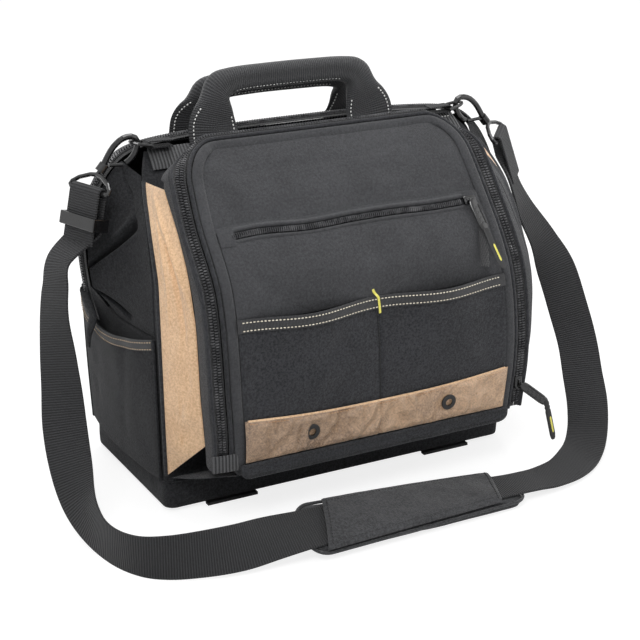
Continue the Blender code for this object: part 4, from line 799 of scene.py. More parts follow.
def wall_shape(facing, foot, top):
    def shape(u, v):
        height = foot + (top - foot) * v
        radius = corner_round(height)
        spread, reach = wall_spread(height), wall_reach(height)
        straight = spread - radius
        travel = abs(2 * u - 1) * (straight + radius * pi / 2)
        side = -facing if u > 0.5 else facing
        if travel <= straight:
            x, y = travel, reach
        else:
            angle = (travel - straight) / radius
            x, y = straight + radius * sin(angle), reach - radius + radius * cos(angle)
        ease = clamp(4 * v) * clamp(6 * (1 - v)) * clamp((spread - x) / 0.02)
        swell = rumple("wall", side * x, facing, height)
        if facing > 0:
            swell += folds(side * x, height, REAR_FOLDS)
        return Vector((side * x, facing * (y + (swell - 0.0004) * ease), height))
    return shape


def side_bow(across):
    return SIDE_BULGE * (1 - across * across)


def lower_side_shape(side):
    foot, top = BASE_HEIGHT + CLEARANCE, SIDE_SPLIT + 0.002

    def shape(u, v):
        height = foot + (top - foot) * v
        across = 2 * u - 1
        bulge = side_bow(across) * sin(pi / 2 * min(1.0, 2 * v))
        reach = wall_reach(height) - corner_round(height) - CLEARANCE
        x = wall_spread(height) + bulge - 0.0012 * smooth((height - SIDE_SPLIT + 0.004) / 0.004)
        x += rumple("side", side, across * 0.09, height) * clamp(3 * (1 - abs(across)))
        return Vector((side * x, across * reach, height))
    return shape


# pleats of the gathered gusset in its own shares (u0, v0, u1, v1, half width, depth)
PLEATS = {
    (-1, -1): ((1.0, 0.33, 0.30, 0.70, 0.050, 0.0150), (1.0, 0.18, 0.45, 0.02, 0.050, 0.0060),
               (0.80, 0.95, 0.30, 0.80, 0.060, 0.0020)),
    (1, -1): ((1.0, 0.42, 0.25, 0.62, 0.045, 0.0120), (1.0, 0.14, 0.35, 0.10, 0.060, 0.0050)),
    (-1, 1): ((1.0, 0.40, 0.20, 0.66, 0.045, 0.0130), (1.0, 0.16, 0.40, 0.04, 0.055, 0.0050)),
    (1, 1): ((1.0, 0.30, 0.25, 0.58, 0.045, 0.0130), (0.9, 0.12, 0.30, 0.12, 0.060, 0.0045)),
}
PLEAT_DEPTH = 0.008


def gusset_shape(side, facing):
    foot = SIDE_SPLIT + CLEARANCE
    low = dome_share_at(foot + CLEARANCE)
    high = dome_share_at(SIDE_TOP + BAND_DROP)

    def shape(u, v):
        height = foot + (SIDE_TOP - foot) * v
        radius = corner_round(height)
        edge = Vector((wall_spread(height), wall_reach(height) - radius - CLEARANCE, height))
        line = dome(low + (high - low) * v)
        middle = Vector((-line.x - CLEARANCE, TAPE_HALF + CLEARANCE, line.z))
        point = edge.lerp(middle, u)
        ease = (1 - v) * (1 - v)
        flat = wall_spread(height) + side_bow(1 - u)
        point.x += (flat - point.x) * max(0.0, 1 - 5 * v)
        point.x -= PLEAT_DEPTH * sin(pi * u) * sin(pi * v) * (1 - ease / 2)
        hold = smooth(v / 0.10) * smooth((1 - v) / 0.08) * smooth(u / 0.10) * smooth((1 - u) / 0.02)
        for u0, v0, u1, v1, width, depth in PLEATS[(side, facing)]:
            run_u, run_v = u1 - u0, v1 - v0
            square = run_u * run_u + run_v * run_v
            share = ((u - u0) * run_u + (v - v0) * run_v) / square
            gap = ((u - u0) * run_v - (v - v0) * run_u) / sqrt(square)
            wide = width * (0.35 + 0.65 * clamp(share))
            inside = smooth((wide - abs(gap)) / (wide * 0.55))
            point.x -= depth * inside * smooth((1.05 - share) / 0.35) * hold
            lip = exp(-((abs(gap) - wide * 1.25) / (wide * 0.6)) ** 2)
            point.x += depth * 0.10 * lip * hold * smooth((1.05 - share) / 0.35)
        point.x += rumple("gusset", side * 3, point.y, height) * hold
        return Vector((side * point.x, facing * point.y, point.z))
    return shape


def mouth_blend(thing, nodes=()):
    """Cloth of the rear half above the zipper's ends, reaching the carrier at them: its nodes hidden and its place
    baked in, on no body.
    """
    settle(thing, nodes)
    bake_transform(thing)


def side_blend(thing, nodes=()):
    """Cloth of an end, from the carrier at its middle to the rear half at its rear edge: its nodes hidden and its
    place baked in, on no body.
    """
    settle(thing, nodes)
    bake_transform(thing)


def build_body():
    foot = BASE_HEIGHT + CLEARANCE
    for word, facing, columns, rows in (("front", -1, 120, 90), ("rear", 1, 150, 110)):
        wall = wall_shape(facing, foot, WALL_TOP)
        dress(cloth(word + "_body_wall", wall, columns, rows, WALL, PAINTED_SHADE_CLOTH, (0, facing, 0)), (word + "_wall",))
    for word, side in SIDES:
        out = (side, 0, 0)
        side_blend(cloth("lower_side_cloth_" + word, lower_side_shape(side), 60, 50, WALL, PAINTED_SHADE_CLOTH, out),
                   ("lower_side_" + word,))
        dress(cloth("front_gusset_cloth_" + word, gusset_shape(side, -1), 90, 110, GUSSET_CLOTH, PAINTED_SHADE_CLOTH, out),
              ("front_gusset_" + word,))
        mouth_blend(cloth("rear_gusset_cloth_" + word, gusset_shape(side, 1), 80, 100, GUSSET_CLOTH, PAINTED_SHADE_CLOTH, out),
                    ("rear_gusset_" + word,))
        build_side_pocket(word, side)
        build_end_tab(word, side)
    build_chain()
    build_bands()


SIDE_POCKET_FOLDS = ((-0.55, 1.2, -0.25, 0.5, 0.10, -0.0012), (0.2, 1.1, 0.55, 0.6, 0.12, -0.0010))


def side_pocket_point(side, across, height, lift):
    swell_share = clamp((height - BASE_HEIGHT) / (POCKET_TOP - POCKET_SAG - BASE_HEIGHT))
    rest = wall_spread(height) + side_bow(across) + PANEL + CLEARANCE * 2
    swell = POCKET_SWELL * (1 - across * across) * swell_share ** 2
    sway = rumple("side_pocket", side * 5, across * 0.09, height) * clamp(3 * (1 - abs(across)))
    sway += folds(across, height * 8, SIDE_POCKET_FOLDS)
    reach = wall_reach(height) - corner_round(height) + 0.0012
    return Vector((side * (rest + swell + sway + lift), across * reach, height))


def pocket_rim(across):
    return POCKET_TOP - POCKET_SAG * (1 - across * across)


def build_side_pocket(word, side):
    foot = BASE_HEIGHT + CLEARANCE * 3

    def shape(u, v):
        across = 2 * u - 1
        return side_pocket_point(side, across, foot + (pocket_rim(across) - foot) * v, 0.0)
    side_blend(cloth("side_pocket_cloth_" + word, shape, 70, 50, PANEL, PAINTED_SHADE_CLOTH, (side, 0, 0)),
               ("side_pocket_" + word,))

    def trim(u, v):
        across = 2 * u - 1
        drop = SIDE_TRIM_WIDTH * (1 - v)
        turn = 0.0006 * sin(pi * v)
        return side_pocket_point(side, across, pocket_rim(across) + 0.0006 - drop, BINDING * 0.8 + turn)
    side_blend(cloth("side_pocket_trim_" + word, trim, 70, 6, BINDING, BINDING_CLOTH, (side, 0, 0)))
    for row, drop in (("upper", 0.0018), ("lower", 0.0078)):
        path = [(side_pocket_point(side, across, pocket_rim(across) - drop, BINDING + 0.0007),
                 Vector((side, 0, 0))) for across in even(-0.99, 1.98, 60)]
        side_blend(stitch_row("side_stitches_" + row + "_" + word, path, SAND_THREAD, "side"))
    for edge, across in FACINGS:
        path = [(side_pocket_point(side, across, height, -0.0006) + Vector((0, across * 0.0004, 0)),
                 Vector((side, across, 0))) for height in even(foot, POCKET_TOP - foot, 40)]
        side_blend(hose("side_welt_" + edge + "_" + word, path, SIDE_WELT, PAINTED_SHADE_CLOTH, 8))


def build_end_tab(word, side):
    foot = HALF_DOME[0].z
    lift = TAPE + CHAIN_RISE + CLEARANCE * 2 + WEBBING

    def shape(u, v):
        height = foot + END_TAB_LENGTH * (v - 0.5)
        hang = max(0.0, foot - height)
        tip = 1 - 0.55 * smooth(hang / END_TAB_LENGTH * 2)
        reach = dome_spread(height) + lift + END_TAB_TILT * hang
        roof = 0.0030 * (1 - abs(2 * u - 1) ** 1.6) * smooth(v * 3)
        wave = 0.0010 * sin(7 * v + 2 * u)
        return Vector((side * (reach + roof - 0.0016 + wave), (2 * u - 1) * END_TAB_WIDTH / 2 * tip, height))
    dress(cloth("end_tab_cloth_" + word, shape, 16, 30, WEBBING * 0.8, PAINTED_SHADE_CLOTH, (side, 0, 0)),
          ("zip_end_tab_" + word,))


def tape_point(share, facing, depth, lift):
    return dome(share) + dome_outward(share) * (TAPE + lift) + Vector((0, facing * depth, 0))


def build_chain():
    """The main zipper: a tape, a row of teeth and a cord on each half."""
    count = 260
    for word, facing in FACINGS:
        def shape(u, v, facing=facing):
            gap = MOUTH_GAP / 2
            depth = gap + (TAPE_HALF - gap) * v
            rise = CHAIN_RISE * smooth((0.0040 - depth) / 0.0012)
            seam = 0.0004 * exp(-((depth - 0.0068) / 0.0006) ** 2)
            return tape_point(u, facing, depth, rise * 0.4 - seam)

        def line(depth, rise, facing=facing):
            return [(tape_point(i / count, facing, depth, CHAIN_RISE * rise), dome_outward(i / count))
                    for i in range(1, count)]
        tape = cloth(word + "_tape_cloth", shape, 300, 9, TAPE_CLOTH, ZIP_TAPE, (0, 0, 1))
        row = teeth(word + "_teeth", line(0.0018, 0.4), "main", 0.0012 if facing > 0 else 0.0)
        cord = hose(word + "_chain_cord", line(0.0042, 0.2), CHAIN_CORD, ZIP_TAPE, 6)
        for piece, nodes in ((tape, (word + "_zip_tape",)), (row, ()), (cord, ())):
            if facing > 0:
                mouth_blend(piece, nodes)
            else:
                dress(piece, nodes, "carrier")


def band_point(facing, x, height, lift):
    """A place lifted off the wall, also just above its top edge."""
    seated = min(height, WALL_TOP)
    step = WALL
    inward = wall_reach(seated - step) - wall_reach(seated)
    slope = hypot(inward, step)
    fall, rise = inward / slope, step / slope
    beyond = height - seated
    reach = wall_reach(seated) + rise * lift - fall * beyond
    return Vector((x, facing * reach, seated + fall * lift + rise * beyond))


def build_bands():
    for word, facing in FACINGS:
        def shape(u, v, facing=facing):
            height = WALL_TOP - BAND_FALL + (BAND_FALL + BAND_RISE) * v
            x = -facing * (2 * u - 1) * (BAND_HALF_WIDTH + 0.002 * (1 - v))
            lift = WEBBING + CLEARANCE + 0.0004 * sin(pi * v)
            return band_point(facing, x, height, lift)
        node = word + "_band"
        dress(cloth(node + "_webbing", shape, 150, 6, WEBBING * 0.9, BAND, (0, facing, 1)), (node,))
        for part, start, stop in (("left", -0.148, -0.118), ("middle", -0.048, 0.028), ("right", 0.094, 0.146)):
            path = [(band_point(facing, x, WALL_TOP - 0.0030, WEBBING + 0.0012), Vector((0, facing, 1)))
                    for x in even(start, stop - start, 20)]
            if facing > 0 or part != "left":
                stitches("_".join((node, "stitches", part)), path, BODY_OF[node], WHITE_THREAD, "band")


# The base

def rounded_rectangle(width, depth, corner, level, inset=0.0, steps=6):
    """A level ring with rounded corners and closely divided straights."""
    ring = []
    for turn, (side, facing) in enumerate(((1, 1), (-1, 1), (-1, -1), (1, -1))):
        for i in range(steps + 1):
            angle = pi / 2 * (turn + i / steps)
            reach = max(corner - inset, 0.001)
            keep = Vector((side * (width / 2 - corner), facing * (depth / 2 - corner), level))
            slip = max(inset - corner + 0.001, 0.0)
            x, y = reach * cos(angle) - side * slip, reach * sin(angle) - facing * slip
            ring.append(keep + Vector((x, y, 0)))
    spans = (BASE_DEPTH, BASE_WIDTH)
    full = []
    for number, (a, b) in enumerate(zip(ring, ring[1:] + ring[:1])):
        straight = number % (steps + 1) == steps
        parts = round(spans[(number // (steps + 1) + 1) % 2] / BASE_STEP) if straight else 1
        full += [a.lerp(b, k / parts) for k in range(parts)]
    return full


# the tray's section from its underside, out, up and in again, as (inset, level)
BASE_SECTION = ((0.0070, 0.0), (0.0032, 0.0), (0.0009, 0.0009), (0.0, 0.0030), (-0.0004, 0.010), (-0.0003, 0.018),
                (0.0, 0.0240), (0.0004, 0.0262), (0.0013, 0.0268), (0.0024, 0.0266), (TRAY_WALL, 0.0250),
                (TRAY_WALL, TRAY_WALL + 0.0002))


def build_base():
    rings = []
    for inset, level in BASE_SECTION:
        ring = rounded_rectangle(BASE_WIDTH, BASE_DEPTH, BASE_CORNER, level, inset)
        if 0.002 < level < 0.0255 and inset < 0.001:
            for point in ring:
                out = Vector((point.x / BASE_WIDTH, point.y / BASE_DEPTH * 1.6, 0)).normalized()
                point += out * (rumple("base", point.x, point.y, level * 3) - 0.0002)
        rings.append(ring)
    dress(skin("base_cloth", rings, PAINTED_SHADE_CLOTH, 60), ("base_tray",))
    welt = rounded_rectangle(BASE_WIDTH, BASE_DEPTH, BASE_CORNER, BASE_HEIGHT - 0.0002, -0.0005, 8)
    path = [(point, Vector((point.x, point.y * 2, 0.02))) for point in welt]
    dress(hose("base_welt", path, BASE_WELT, PAINTED_SHADE_CLOTH, 8, closed=True), body="carrier")


# The front compartment

def door_reach(height):
    """How far in front of the origin the door's outer face is."""
    return DOOR_REACH * along(DOOR_REACH_SHARES, height / DOOR_TOP)


def door_spread(height):
    """Half the door's width, with its rounded corners."""
    spread = DOOR_HALF_WIDTH * along(DOOR_SPREAD_SHARES, height / DOOR_TOP)
    over = height - (DOOR_TOP - DOOR_CORNER)
    under = DOOR_BOTTOM + DOOR_FOOT_CORNER - height
    if over > 0:
        spread -= DOOR_CORNER - sqrt(max(DOOR_CORNER ** 2 - over ** 2, 0.0))
    if under > 0:
        spread -= DOOR_FOOT_CORNER - sqrt(max(DOOR_FOOT_CORNER ** 2 - under ** 2, 0.0))
    return spread


def door_normal(height):
    step = CLEARANCE * 5
    run = door_reach(height + step) - door_reach(height - step)
    return Vector((0, -2 * step, -run)).normalized()


def door_shift(height):
    return -DOOR_LEAN * along(DOOR_LEAN_SHARES, height / DOOR_TOP)


def door_point(across, height, lift=0.0):
    return Vector((across + door_shift(height), -door_reach(height), height)) + door_normal(height) * lift


def door_layer(name, node, foot, top, lift, thickness, finish, columns, rows, margin=0.0):
    """A layer of the door between two heights, each of them plain or given by the place across."""
    def shape(u, v):
        across = 2 * u - 1
        low = foot(across) if callable(foot) else foot
        high = top(across) if callable(top) else top
        height = low + (high - low) * v
        return door_point(across * (door_spread(height) - margin), height, lift(across, height, v))
    dress(cloth(name, shape, columns, rows, thickness, finish, (0, -1, 0.2)), (node,))


def door_row(places, height_at, lift_at, margin, drop=0.0):
    """A path across the door, as (place, outward) pairs, at shares of its half width."""
    path = []
    for across in places:
        height = height_at(across)
        x = across * (door_spread(height) - margin)
        path.append((door_point(x, height - drop, lift_at(across, height)), door_normal(height)))
    return path


def door_line():
    """(place, direction) pairs up, over and down the door's edge, on its flat pattern."""
    foot = DOOR_BOTTOM + DOOR_FOOT_CORNER
    shoulder = DOOR_TOP - DOOR_CORNER
    heights = even(foot, shoulder - foot, 10)
    heights += [shoulder + DOOR_CORNER * sin(pi / 2 * i / 6) for i in range(1, 7)]
    side = [Vector((-door_spread(height), 0, height)) for height in heights]
    half = side + [Vector((side[-1].x * (1 - i / 4), 0, DOOR_TOP)) for i in range(1, 5)]
    line = even_spline(half + [Vector((-p.x, 0, p.z)) for p in reversed(half[:-1])], LINE_STEP)
    turned = []
    for i, point in enumerate(line):
        near, far = line[max(i - 3, 0)], line[min(i + 3, len(line) - 1)]
        turned.append((point, (far - near).normalized()))
    return turned


DOOR_LINE = door_line()
NEAR = 2 * PIPING_RADIUS + CLEARANCE * 4


def outline_at(index, outset, lift):
    """A place outward from the door's edge; past the piping it turns back round the door's top."""
    point, run = DOOR_LINE[index]
    slope = door_normal(point.z)
    climb = Vector((0, slope.z, -slope.y))
    outward = Vector((-run.z, 0, 0)) + climb * run.x
    turn = TAPE_TURN * smooth((point.z - DOOR_TOP + DOOR_CORNER) / DOOR_CORNER)
    back = outward * cos(turn) - slope * sin(turn)
    place = door_point(point.x, point.z, lift)
    return place + outward * min(outset, NEAR) + back * max(0.0, outset - NEAR)


def outline_path(outset, lift):
    """A line round the door's edge, as (place, outward) pairs."""
    return [(outline_at(i, outset, lift), door_normal(DOOR_LINE[i][0].z)) for i in range(len(DOOR_LINE))]


def outline_cloth(name, near, far, lift, thickness, finish, rows, profile=None):
    """A band of cloth round the door's edge, between two outsets from its line."""
    last = len(DOOR_LINE) - 1

    def shape(u, v):
        raised = lift + (profile(u, v) if profile else 0.0)
        return outline_at(round(u * last), near + (far - near) * v, raised)
    return cloth(name, shape, last, rows, thickness, finish, (0, -1, 0.2))


def pocket_half(across):
    return sin(pi * min(abs(across), 1.0)) ** 2


def tool_pocket_lift(across, height):
    rise = max(0.0, (height - TOOL_POCKET_FOOT) / (TRIM_LINE - TOOL_POCKET_FOOT))
    seated = PANEL + CLEARANCE
    return seated + (TOOL_POCKET_MOUTH - seated) * pocket_half(across) * rise * rise


def trim_top(across):
    return TRIM_LINE + TRIM_SAG * cos(2 * pi * across)


POCKET_FOLDS = ((-0.12, 0.150, -0.05, 0.145, 0.010, -0.0007), (-0.10, 0.120, -0.03, 0.128, 0.012, 0.0006),
                (0.03, 0.160, 0.11, 0.150, 0.010, -0.0007), (0.02, 0.118, 0.10, 0.122, 0.010, 0.0006),
                (-0.005, 0.175, -0.002, 0.100, 0.006, -0.0006))
TOP_FOLDS = ((-0.10, 0.289, -0.02, 0.291, 0.0032, -0.0006), (-0.01, 0.290, 0.075, 0.296, 0.0028, -0.0006),
             (-0.09, 0.272, 0.06, 0.268, 0.006, 0.0006), (0.05, 0.262, 0.11, 0.266, 0.0030, -0.0006),
             (-0.11, 0.216, -0.09, 0.196, 0.008, -0.0014), (-0.08, 0.222, -0.03, 0.214, 0.010, 0.0008),
             (0.01, 0.218, 0.06, 0.222, 0.010, -0.0008), (0.05, 0.200, 0.09, 0.206, 0.008, 0.0008))
STRIP_FOLDS = ((-0.078, 0.062, -0.074, 0.100, 0.0045, 0.0013), (-0.062, 0.060, -0.050, 0.076, 0.0035, -0.0010),
               (-0.030, 0.062, -0.022, 0.076, 0.0030, 0.0010), (-0.022, 0.060, -0.010, 0.070, 0.0028, 0.0009),
               (-0.046, 0.066, -0.038, 0.096, 0.0060, -0.0009), (0.006, 0.098, 0.016, 0.076, 0.0050, -0.0012),
               (0.018, 0.098, 0.026, 0.078, 0.0045, 0.0010), (0.030, 0.090, 0.040, 0.066, 0.0060, 0.0009),
               (0.056, 0.062, 0.064, 0.080, 0.0040, -0.0008), (0.090, 0.064, 0.094, 0.094, 0.0060, 0.0009),
               (-0.110, 0.066, -0.106, 0.096, 0.0070, -0.0010))


def strip_lift(across, height):
    return tool_pocket_lift(across, height) + PANEL + CLEARANCE * 2


def build_door():
    flat = PANEL + CLEARANCE

    def panel_lift(across, height, rise):
        x = across * door_spread(height)
        calm = clamp(8 * (1 - abs(across))) * clamp((DOOR_TOP - height) / 0.012)
        return (folds(x, height, TOP_FOLDS) + rumple("door", x, 0, height)) * calm - 0.0004
    door_layer("door_cloth", "door_panel", DOOR_BOTTOM, DOOR_TOP, panel_lift, DOOR * 0.8, BLACK, 130, 130)

    def border_lift(u, v):
        return 0.0012 + 0.0011 * sin(pi * v) ** 0.7 + rumple("border", u * 40, v, 0)
    dress(outline_cloth("door_border", -BORDER, 0.0006, 0.0, 0.0016, BLACK, 8, border_lift), body="door")

    def zip_pocket_lift(across, height, rise):
        x = across * door_spread(height)
        calm = clamp(6 * (1 - abs(across))) * sin(pi * rise) ** 0.5
        swell = 0.0026 * sin(pi * rise) * (1 - across * across)
        return flat + swell + (folds(x, height, TOP_FOLDS) + rumple("zip_pocket", x, 3, height)) * calm
    door_layer("zip_pocket_cloth", "zip_pocket", lambda a: trim_top(a) + CLEARANCE * 6 - 0.004,
               ZIP_LINE - ZIP_HALF - CLEARANCE, zip_pocket_lift, PANEL_CLOTH, BLACK, 110, 40, BORDER)
    build_pocket_zip()

    def tool_lift(across, height, rise):
        x = across * door_spread(height)
        calm = clamp(6 * (1 - abs(across))) * clamp(rise * 5)
        seam = -0.0012 * exp(-(x / 0.0016) ** 2) * clamp((1 - rise) * 20)
        wave = (folds(x, height, POCKET_FOLDS) + rumple("tool_pocket", x, 7, height)) * calm
        return tool_pocket_lift(across, height) + wave + seam
    door_layer("tool_pocket_cloth", "tool_pocket", TOOL_POCKET_FOOT, trim_top, tool_lift, PANEL_CLOTH, DEEP_BLACK_AND_SHADE,
               140, 70, BORDER)

    def trim_lift(across, height, rise):
        return tool_pocket_lift(across, height) + BINDING + CLEARANCE + 0.0005 * sin(pi * rise)
    door_layer("pocket_ribbon", "pocket_trim", lambda a: trim_top(a) - TRIM_WIDTH, lambda a: trim_top(a) + 0.0008,
               trim_lift, BINDING, BINDING_CLOTH, 110, 5, BORDER - 0.001)
    for row, drop in (("upper", 0.0017), ("lower", TRIM_WIDTH - 0.0020)):
        path = door_row(even(-0.985, 1.97, 120), lambda a: trim_top(a) - drop,
                        lambda a, height: tool_pocket_lift(a, height) + BINDING + 0.0011, BORDER)
        stitches("trim_stitches_" + row, path, "door", CREAM_THREAD, "trim")
    build_bartack()
    seam = [(door_point(0.0, height, PANEL + CLEARANCE + 0.0001), door_normal(height)) for height in
            even(TOOL_POCKET_FOOT + 0.004, TRIM_LINE - TRIM_WIDTH - TOOL_POCKET_FOOT - 0.005, 60)]
    stitches("pocket_seam", seam, "door", DARK_THREAD, "seam")
    build_strip()
    # the piping cord takes the darker cloth as a painted shade line round the door's edge
    path = outline_path(PIPING_RADIUS + CLEARANCE * 2, -DOOR / 2 + 0.0006)
    dress(hose("door_piping_cord", path, PIPING_RADIUS, DEEP_BLACK_AND_SHADE), ("door_piping",))


def pocket_zip_wave(x):
    """How far the slack zipper of the pocket wanders up or down."""
    return 0.0006 * sin(x * 60 + 0.6) + rumple("zip_wave", x, 41, 0)


def build_pocket_zip():
    """The pocket's zipper under a pair of cloth lips."""
    half = door_spread(ZIP_LINE) - BORDER
    for word, sign in (("upper", 1), ("lower", -1)):
        def shape(u, v, sign=sign):
            across = 2 * u - 1
            x = across * half
            height = ZIP_LINE + sign * 0.0008 + sign * (0.0016 + LIP_WIDTH * v) + pocket_zip_wave(x)
            ends = smooth((1 - abs(across)) / 0.08)
            lift = (0.0004 + 0.0023 * sin(pi * min(1.0, v * 1.25 + 0.15)) + 0.0006) * (0.35 + 0.65 * ends)
            return door_point(x, height, lift + rumple("zip_lip", x, 9, height))
        piece = cloth("zip_lip_" + word, shape, 110, 8, 0.0010, BLACK, (0, -1, 0.2))
        dress(piece, ("zip_pocket_tape",) if sign > 0 else (), "door")
    path = []
    for across in even(-0.90, 1.75, 110):
        height = ZIP_LINE + pocket_zip_wave(across * half)
        path.append((door_point(across * half, height, 0.0021), door_normal(height)))
    dress(teeth("pocket_coil", path, "pocket"), body="door")
    for end, across in (("left", -0.94), ("right", 0.93)):
        def tab(u, v, across=across):
            height = ZIP_LINE - 0.0065 + 0.013 * v
            x = across * (door_spread(height) - BORDER) + (2 * u - 1) * 0.0075
            return door_point(x, height, 0.0030 + 0.0003 * sin(pi * u))
        dress(cloth("pocket_zip_end_" + end, tab, 10, 8, 0.0008, BLACK, (0, -1, 0.2)), body="door")


def build_bartack():
    pitch, length, radius = STITCHES["bartack"]
    path = []
    for share in even(0.0, 1.0, 24):
        height = TRIM_LINE - TRIM_WIDTH - 0.002 + (TRIM_WIDTH + 0.0095) * share
        lift = PANEL + CLEARANCE + BINDING + 0.0013 - 0.0012 * smooth((share - 0.72) / 0.1)
        x = 0.0012 - 0.0034 * smooth((share - 0.6) / 0.4)
        path.append((door_point(x, height, lift), door_normal(height)))
    spots = [(spot[0], Vector((1, 0, 0.35)), spot[2]) for spot in spots_along(path, pitch)]
    dress(scatter("bartack", stitch_shape(length, radius), spots, YELLOW_THREAD), body="door")


def build_strip():
    """The crumpled satin strip over the tool pocket's foot, and the binding under it."""
    def strip_top(across):
        return STRIP_TOP + STRIP_DIP * (across * across - 0.5)

    def crumple(across, height, rise):
        x = across * door_spread(height)
        eyelet_gap = hypot(abs(x) - EYELET_SPREAD, height - EYELET_HEIGHT)
        calm = (clamp(rise * 6) * clamp((1 - rise) * 8) * clamp(10 * (1 - abs(across)))
                * smooth((eyelet_gap - 0.006) / 0.006))
        seam = -0.0013 * exp(-(x / 0.0012) ** 2)
        fine = rumple("satin_fine", x, 13, height) + rumple("satin_broad", x, 17, height)
        rough = 0.0018 + 0.0012 * exp(-((x + 0.020) / 0.030) ** 2)
        ridge = rough * (1 - abs(noise.noise(Vector((x * 1.6, 29, height)) / 0.020)) * 2)
        return strip_lift(across, height) + (folds(x, height, STRIP_FOLDS) * 1.8 + fine + ridge) * calm + seam
    door_layer("satin_strip", "kick_strip", STRIP_FOOT, strip_top, crumple, PANEL_CLOTH, STRIP, 200, 34,
               BORDER - 0.001)
    places = even(-0.985, 1.97, 120)
    path = door_row(places, strip_top, lambda a, height: strip_lift(a, height) + 0.0004, BORDER, 0.0024)
    stitches("strip_stitches", path, "door", TAN_THREAD, "strip")
    fold_edge = door_row(places, strip_top, lambda a, height: strip_lift(a, height) - 0.0006, BORDER)
    dress(hose("strip_fold", fold_edge, STRIP_FOLD, TAN, 8), body="door")

    def binding_lift(across, height, rise):
        return strip_lift(across, height) + CLEARANCE + BINDING + 0.0008 * sin(pi * rise)

    def rough_binding_lift(across, height, rise):
        return binding_lift(across, height, rise) + rumple("binding", across * door_spread(height), 19, height)
    binding_top = DOOR_BOTTOM + BOTTOM_BINDING
    door_layer("bottom_binding", "door_binding", DOOR_BOTTOM - 0.0004, binding_top, rough_binding_lift,
               BINDING * 1.5, DEEP_BLACK_AND_SHADE, 120, 12, BINDING_MARGIN)
    for row, level in (("upper", binding_top - 0.0022), ("lower", DOOR_BOTTOM + 0.0036)):
        rise = (level - DOOR_BOTTOM) / BOTTOM_BINDING
        path = door_row(even(-0.97, 1.94, 100), lambda a: level,
                        lambda a, height: binding_lift(a, height, rise) + 0.0001, BINDING_MARGIN)
        stitches("binding_stitches_" + row, path, "door", DARK_THREAD, "hem")


def seam_point(side, height):
    """A place on the seam between the tan side and the compartment's black band."""
    reach = DOOR_REACH * along(SEAM_REACH_SHARES, height / DOOR_TOP)
    spread = door_spread(min(height, DOOR_TOP - DOOR_CORNER)) + SEAM_SPREAD + GUSSET_BACK
    bulge = RIGHT_BULGE * sin(pi * (height - DOOR_BOTTOM) / (GUSSET_TOP - DOOR_BOTTOM))
    push = bulge if side > 0 else 0.0
    return Vector((side * (spread + push) + door_shift(height), -reach, height))


def corner_point(side, height):
    """A place on the body's front corner, where the tan side starts."""
    reach = wall_reach(height) + PANEL * 1.25
    return Vector((side * (wall_spread(height) - PANEL / 2), -reach, height))


DOOR_FAR = NEAR + DOOR_TAPE_WIDTH
FRAME_NEAR = DOOR_FAR + MOUTH_GAP / 2
FRAME_FAR = FRAME_NEAR + FRAME_TAPE_WIDTH


def build_gussets():
    for word, sign, near, far, edge, start, body in (
            ("door", -1, NEAR - 0.0008, DOOR_FAR, DOOR_FAR, 0.0, "door"),
            ("frame", 1, FRAME_NEAR, FRAME_FAR + 0.0006, FRAME_NEAR, 0.0012, "carrier")):
        dress(outline_cloth(word + "_tape_cloth", near, far, -DOOR_TAPE_DEEP, TAPE_CLOTH, ZIP_TAPE, 5),
              (word + "_zip_tape",))
        middle = edge + sign * 0.0016
        dress(teeth(word + "_zip_teeth", outline_path(middle, -DOOR_TAPE_DEEP), "door", start, 0.004), body=body)
        cord = outline_path(middle + sign * 0.0024, -DOOR_TAPE_DEEP + 0.0002)
        dress(hose(word + "_zip_cord", cord, ZIP_CORD, ZIP_TAPE, 6), body=body)
    last = len(DOOR_LINE) - 1
    rim = [outline_at(i, FRAME_FAR + PANEL + GUSSET_GAP, -DOOR_TAPE_DEEP) for i in range(last + 1)]
    roof_height = WALL_TOP - BAND_DROP - CLEARANCE * 6
    roof_reach = wall_reach(roof_height) + CLEARANCE * 3

    def back_edge(index):
        point = rim[index]
        side = -1 if point.x < 0 else 1
        over = smooth((point.z - GUSSET_TOP) / (DOOR_TOP - GUSSET_TOP))
        low = seam_point(side, min(point.z, GUSSET_TOP))
        return low.lerp(Vector((point.x, -roof_reach, roof_height)), over)
    back = [back_edge(i) for i in range(last + 1)]

    def shape(u, v):
        index = round(u * last)
        point = rim[index].lerp(back[index], v)
        hold = sin(pi * v)
        outward = Vector((point.x, 0, (point.z - 0.17) * 1.2)).normalized()
        lift = 0.0010 * hold + rumple("compartment", point.x, point.y, point.z) * hold
        return point + outward * lift
    dress(cloth("compartment_cloth", shape, last, 16, PANEL_CLOTH, DEEP_BLACK_AND_SHADE, (0, 0, 1)), ("compartment_gusset",))
    # the welt takes the darker cloth as a painted shade line round the frame
    welt = outline_path(FRAME_FAR + 0.0016, -DOOR_TAPE_DEEP + 0.0006)
    dress(hose("frame_welt", welt, FRAME_WELT, DEEP_BLACK_AND_SHADE), body="carrier")
    for word, side in SIDES:
        build_tan_gusset(word, side)
    build_compartment_floor()


TAN_FOLDS = ((0.95, 0.60, 0.42, 0.97, 0.050, 0.0026), (0.70, 0.52, 0.55, 0.80, 0.060, -0.0022),
             (0.30, 0.62, 0.35, 0.98, 0.060, 0.0012), (0.92, 0.12, 0.45, 0.10, 0.030, -0.0018),
             (0.20, 0.38, 0.55, 0.44, 0.050, 0.0008), (0.75, 0.30, 0.50, 0.22, 0.045, -0.0008))
# on the right the black cloth turns over the tan one, from this share of the way to the seam
TURNOVER_SHARE = 0.45
SEAM_CORD = 0.0020


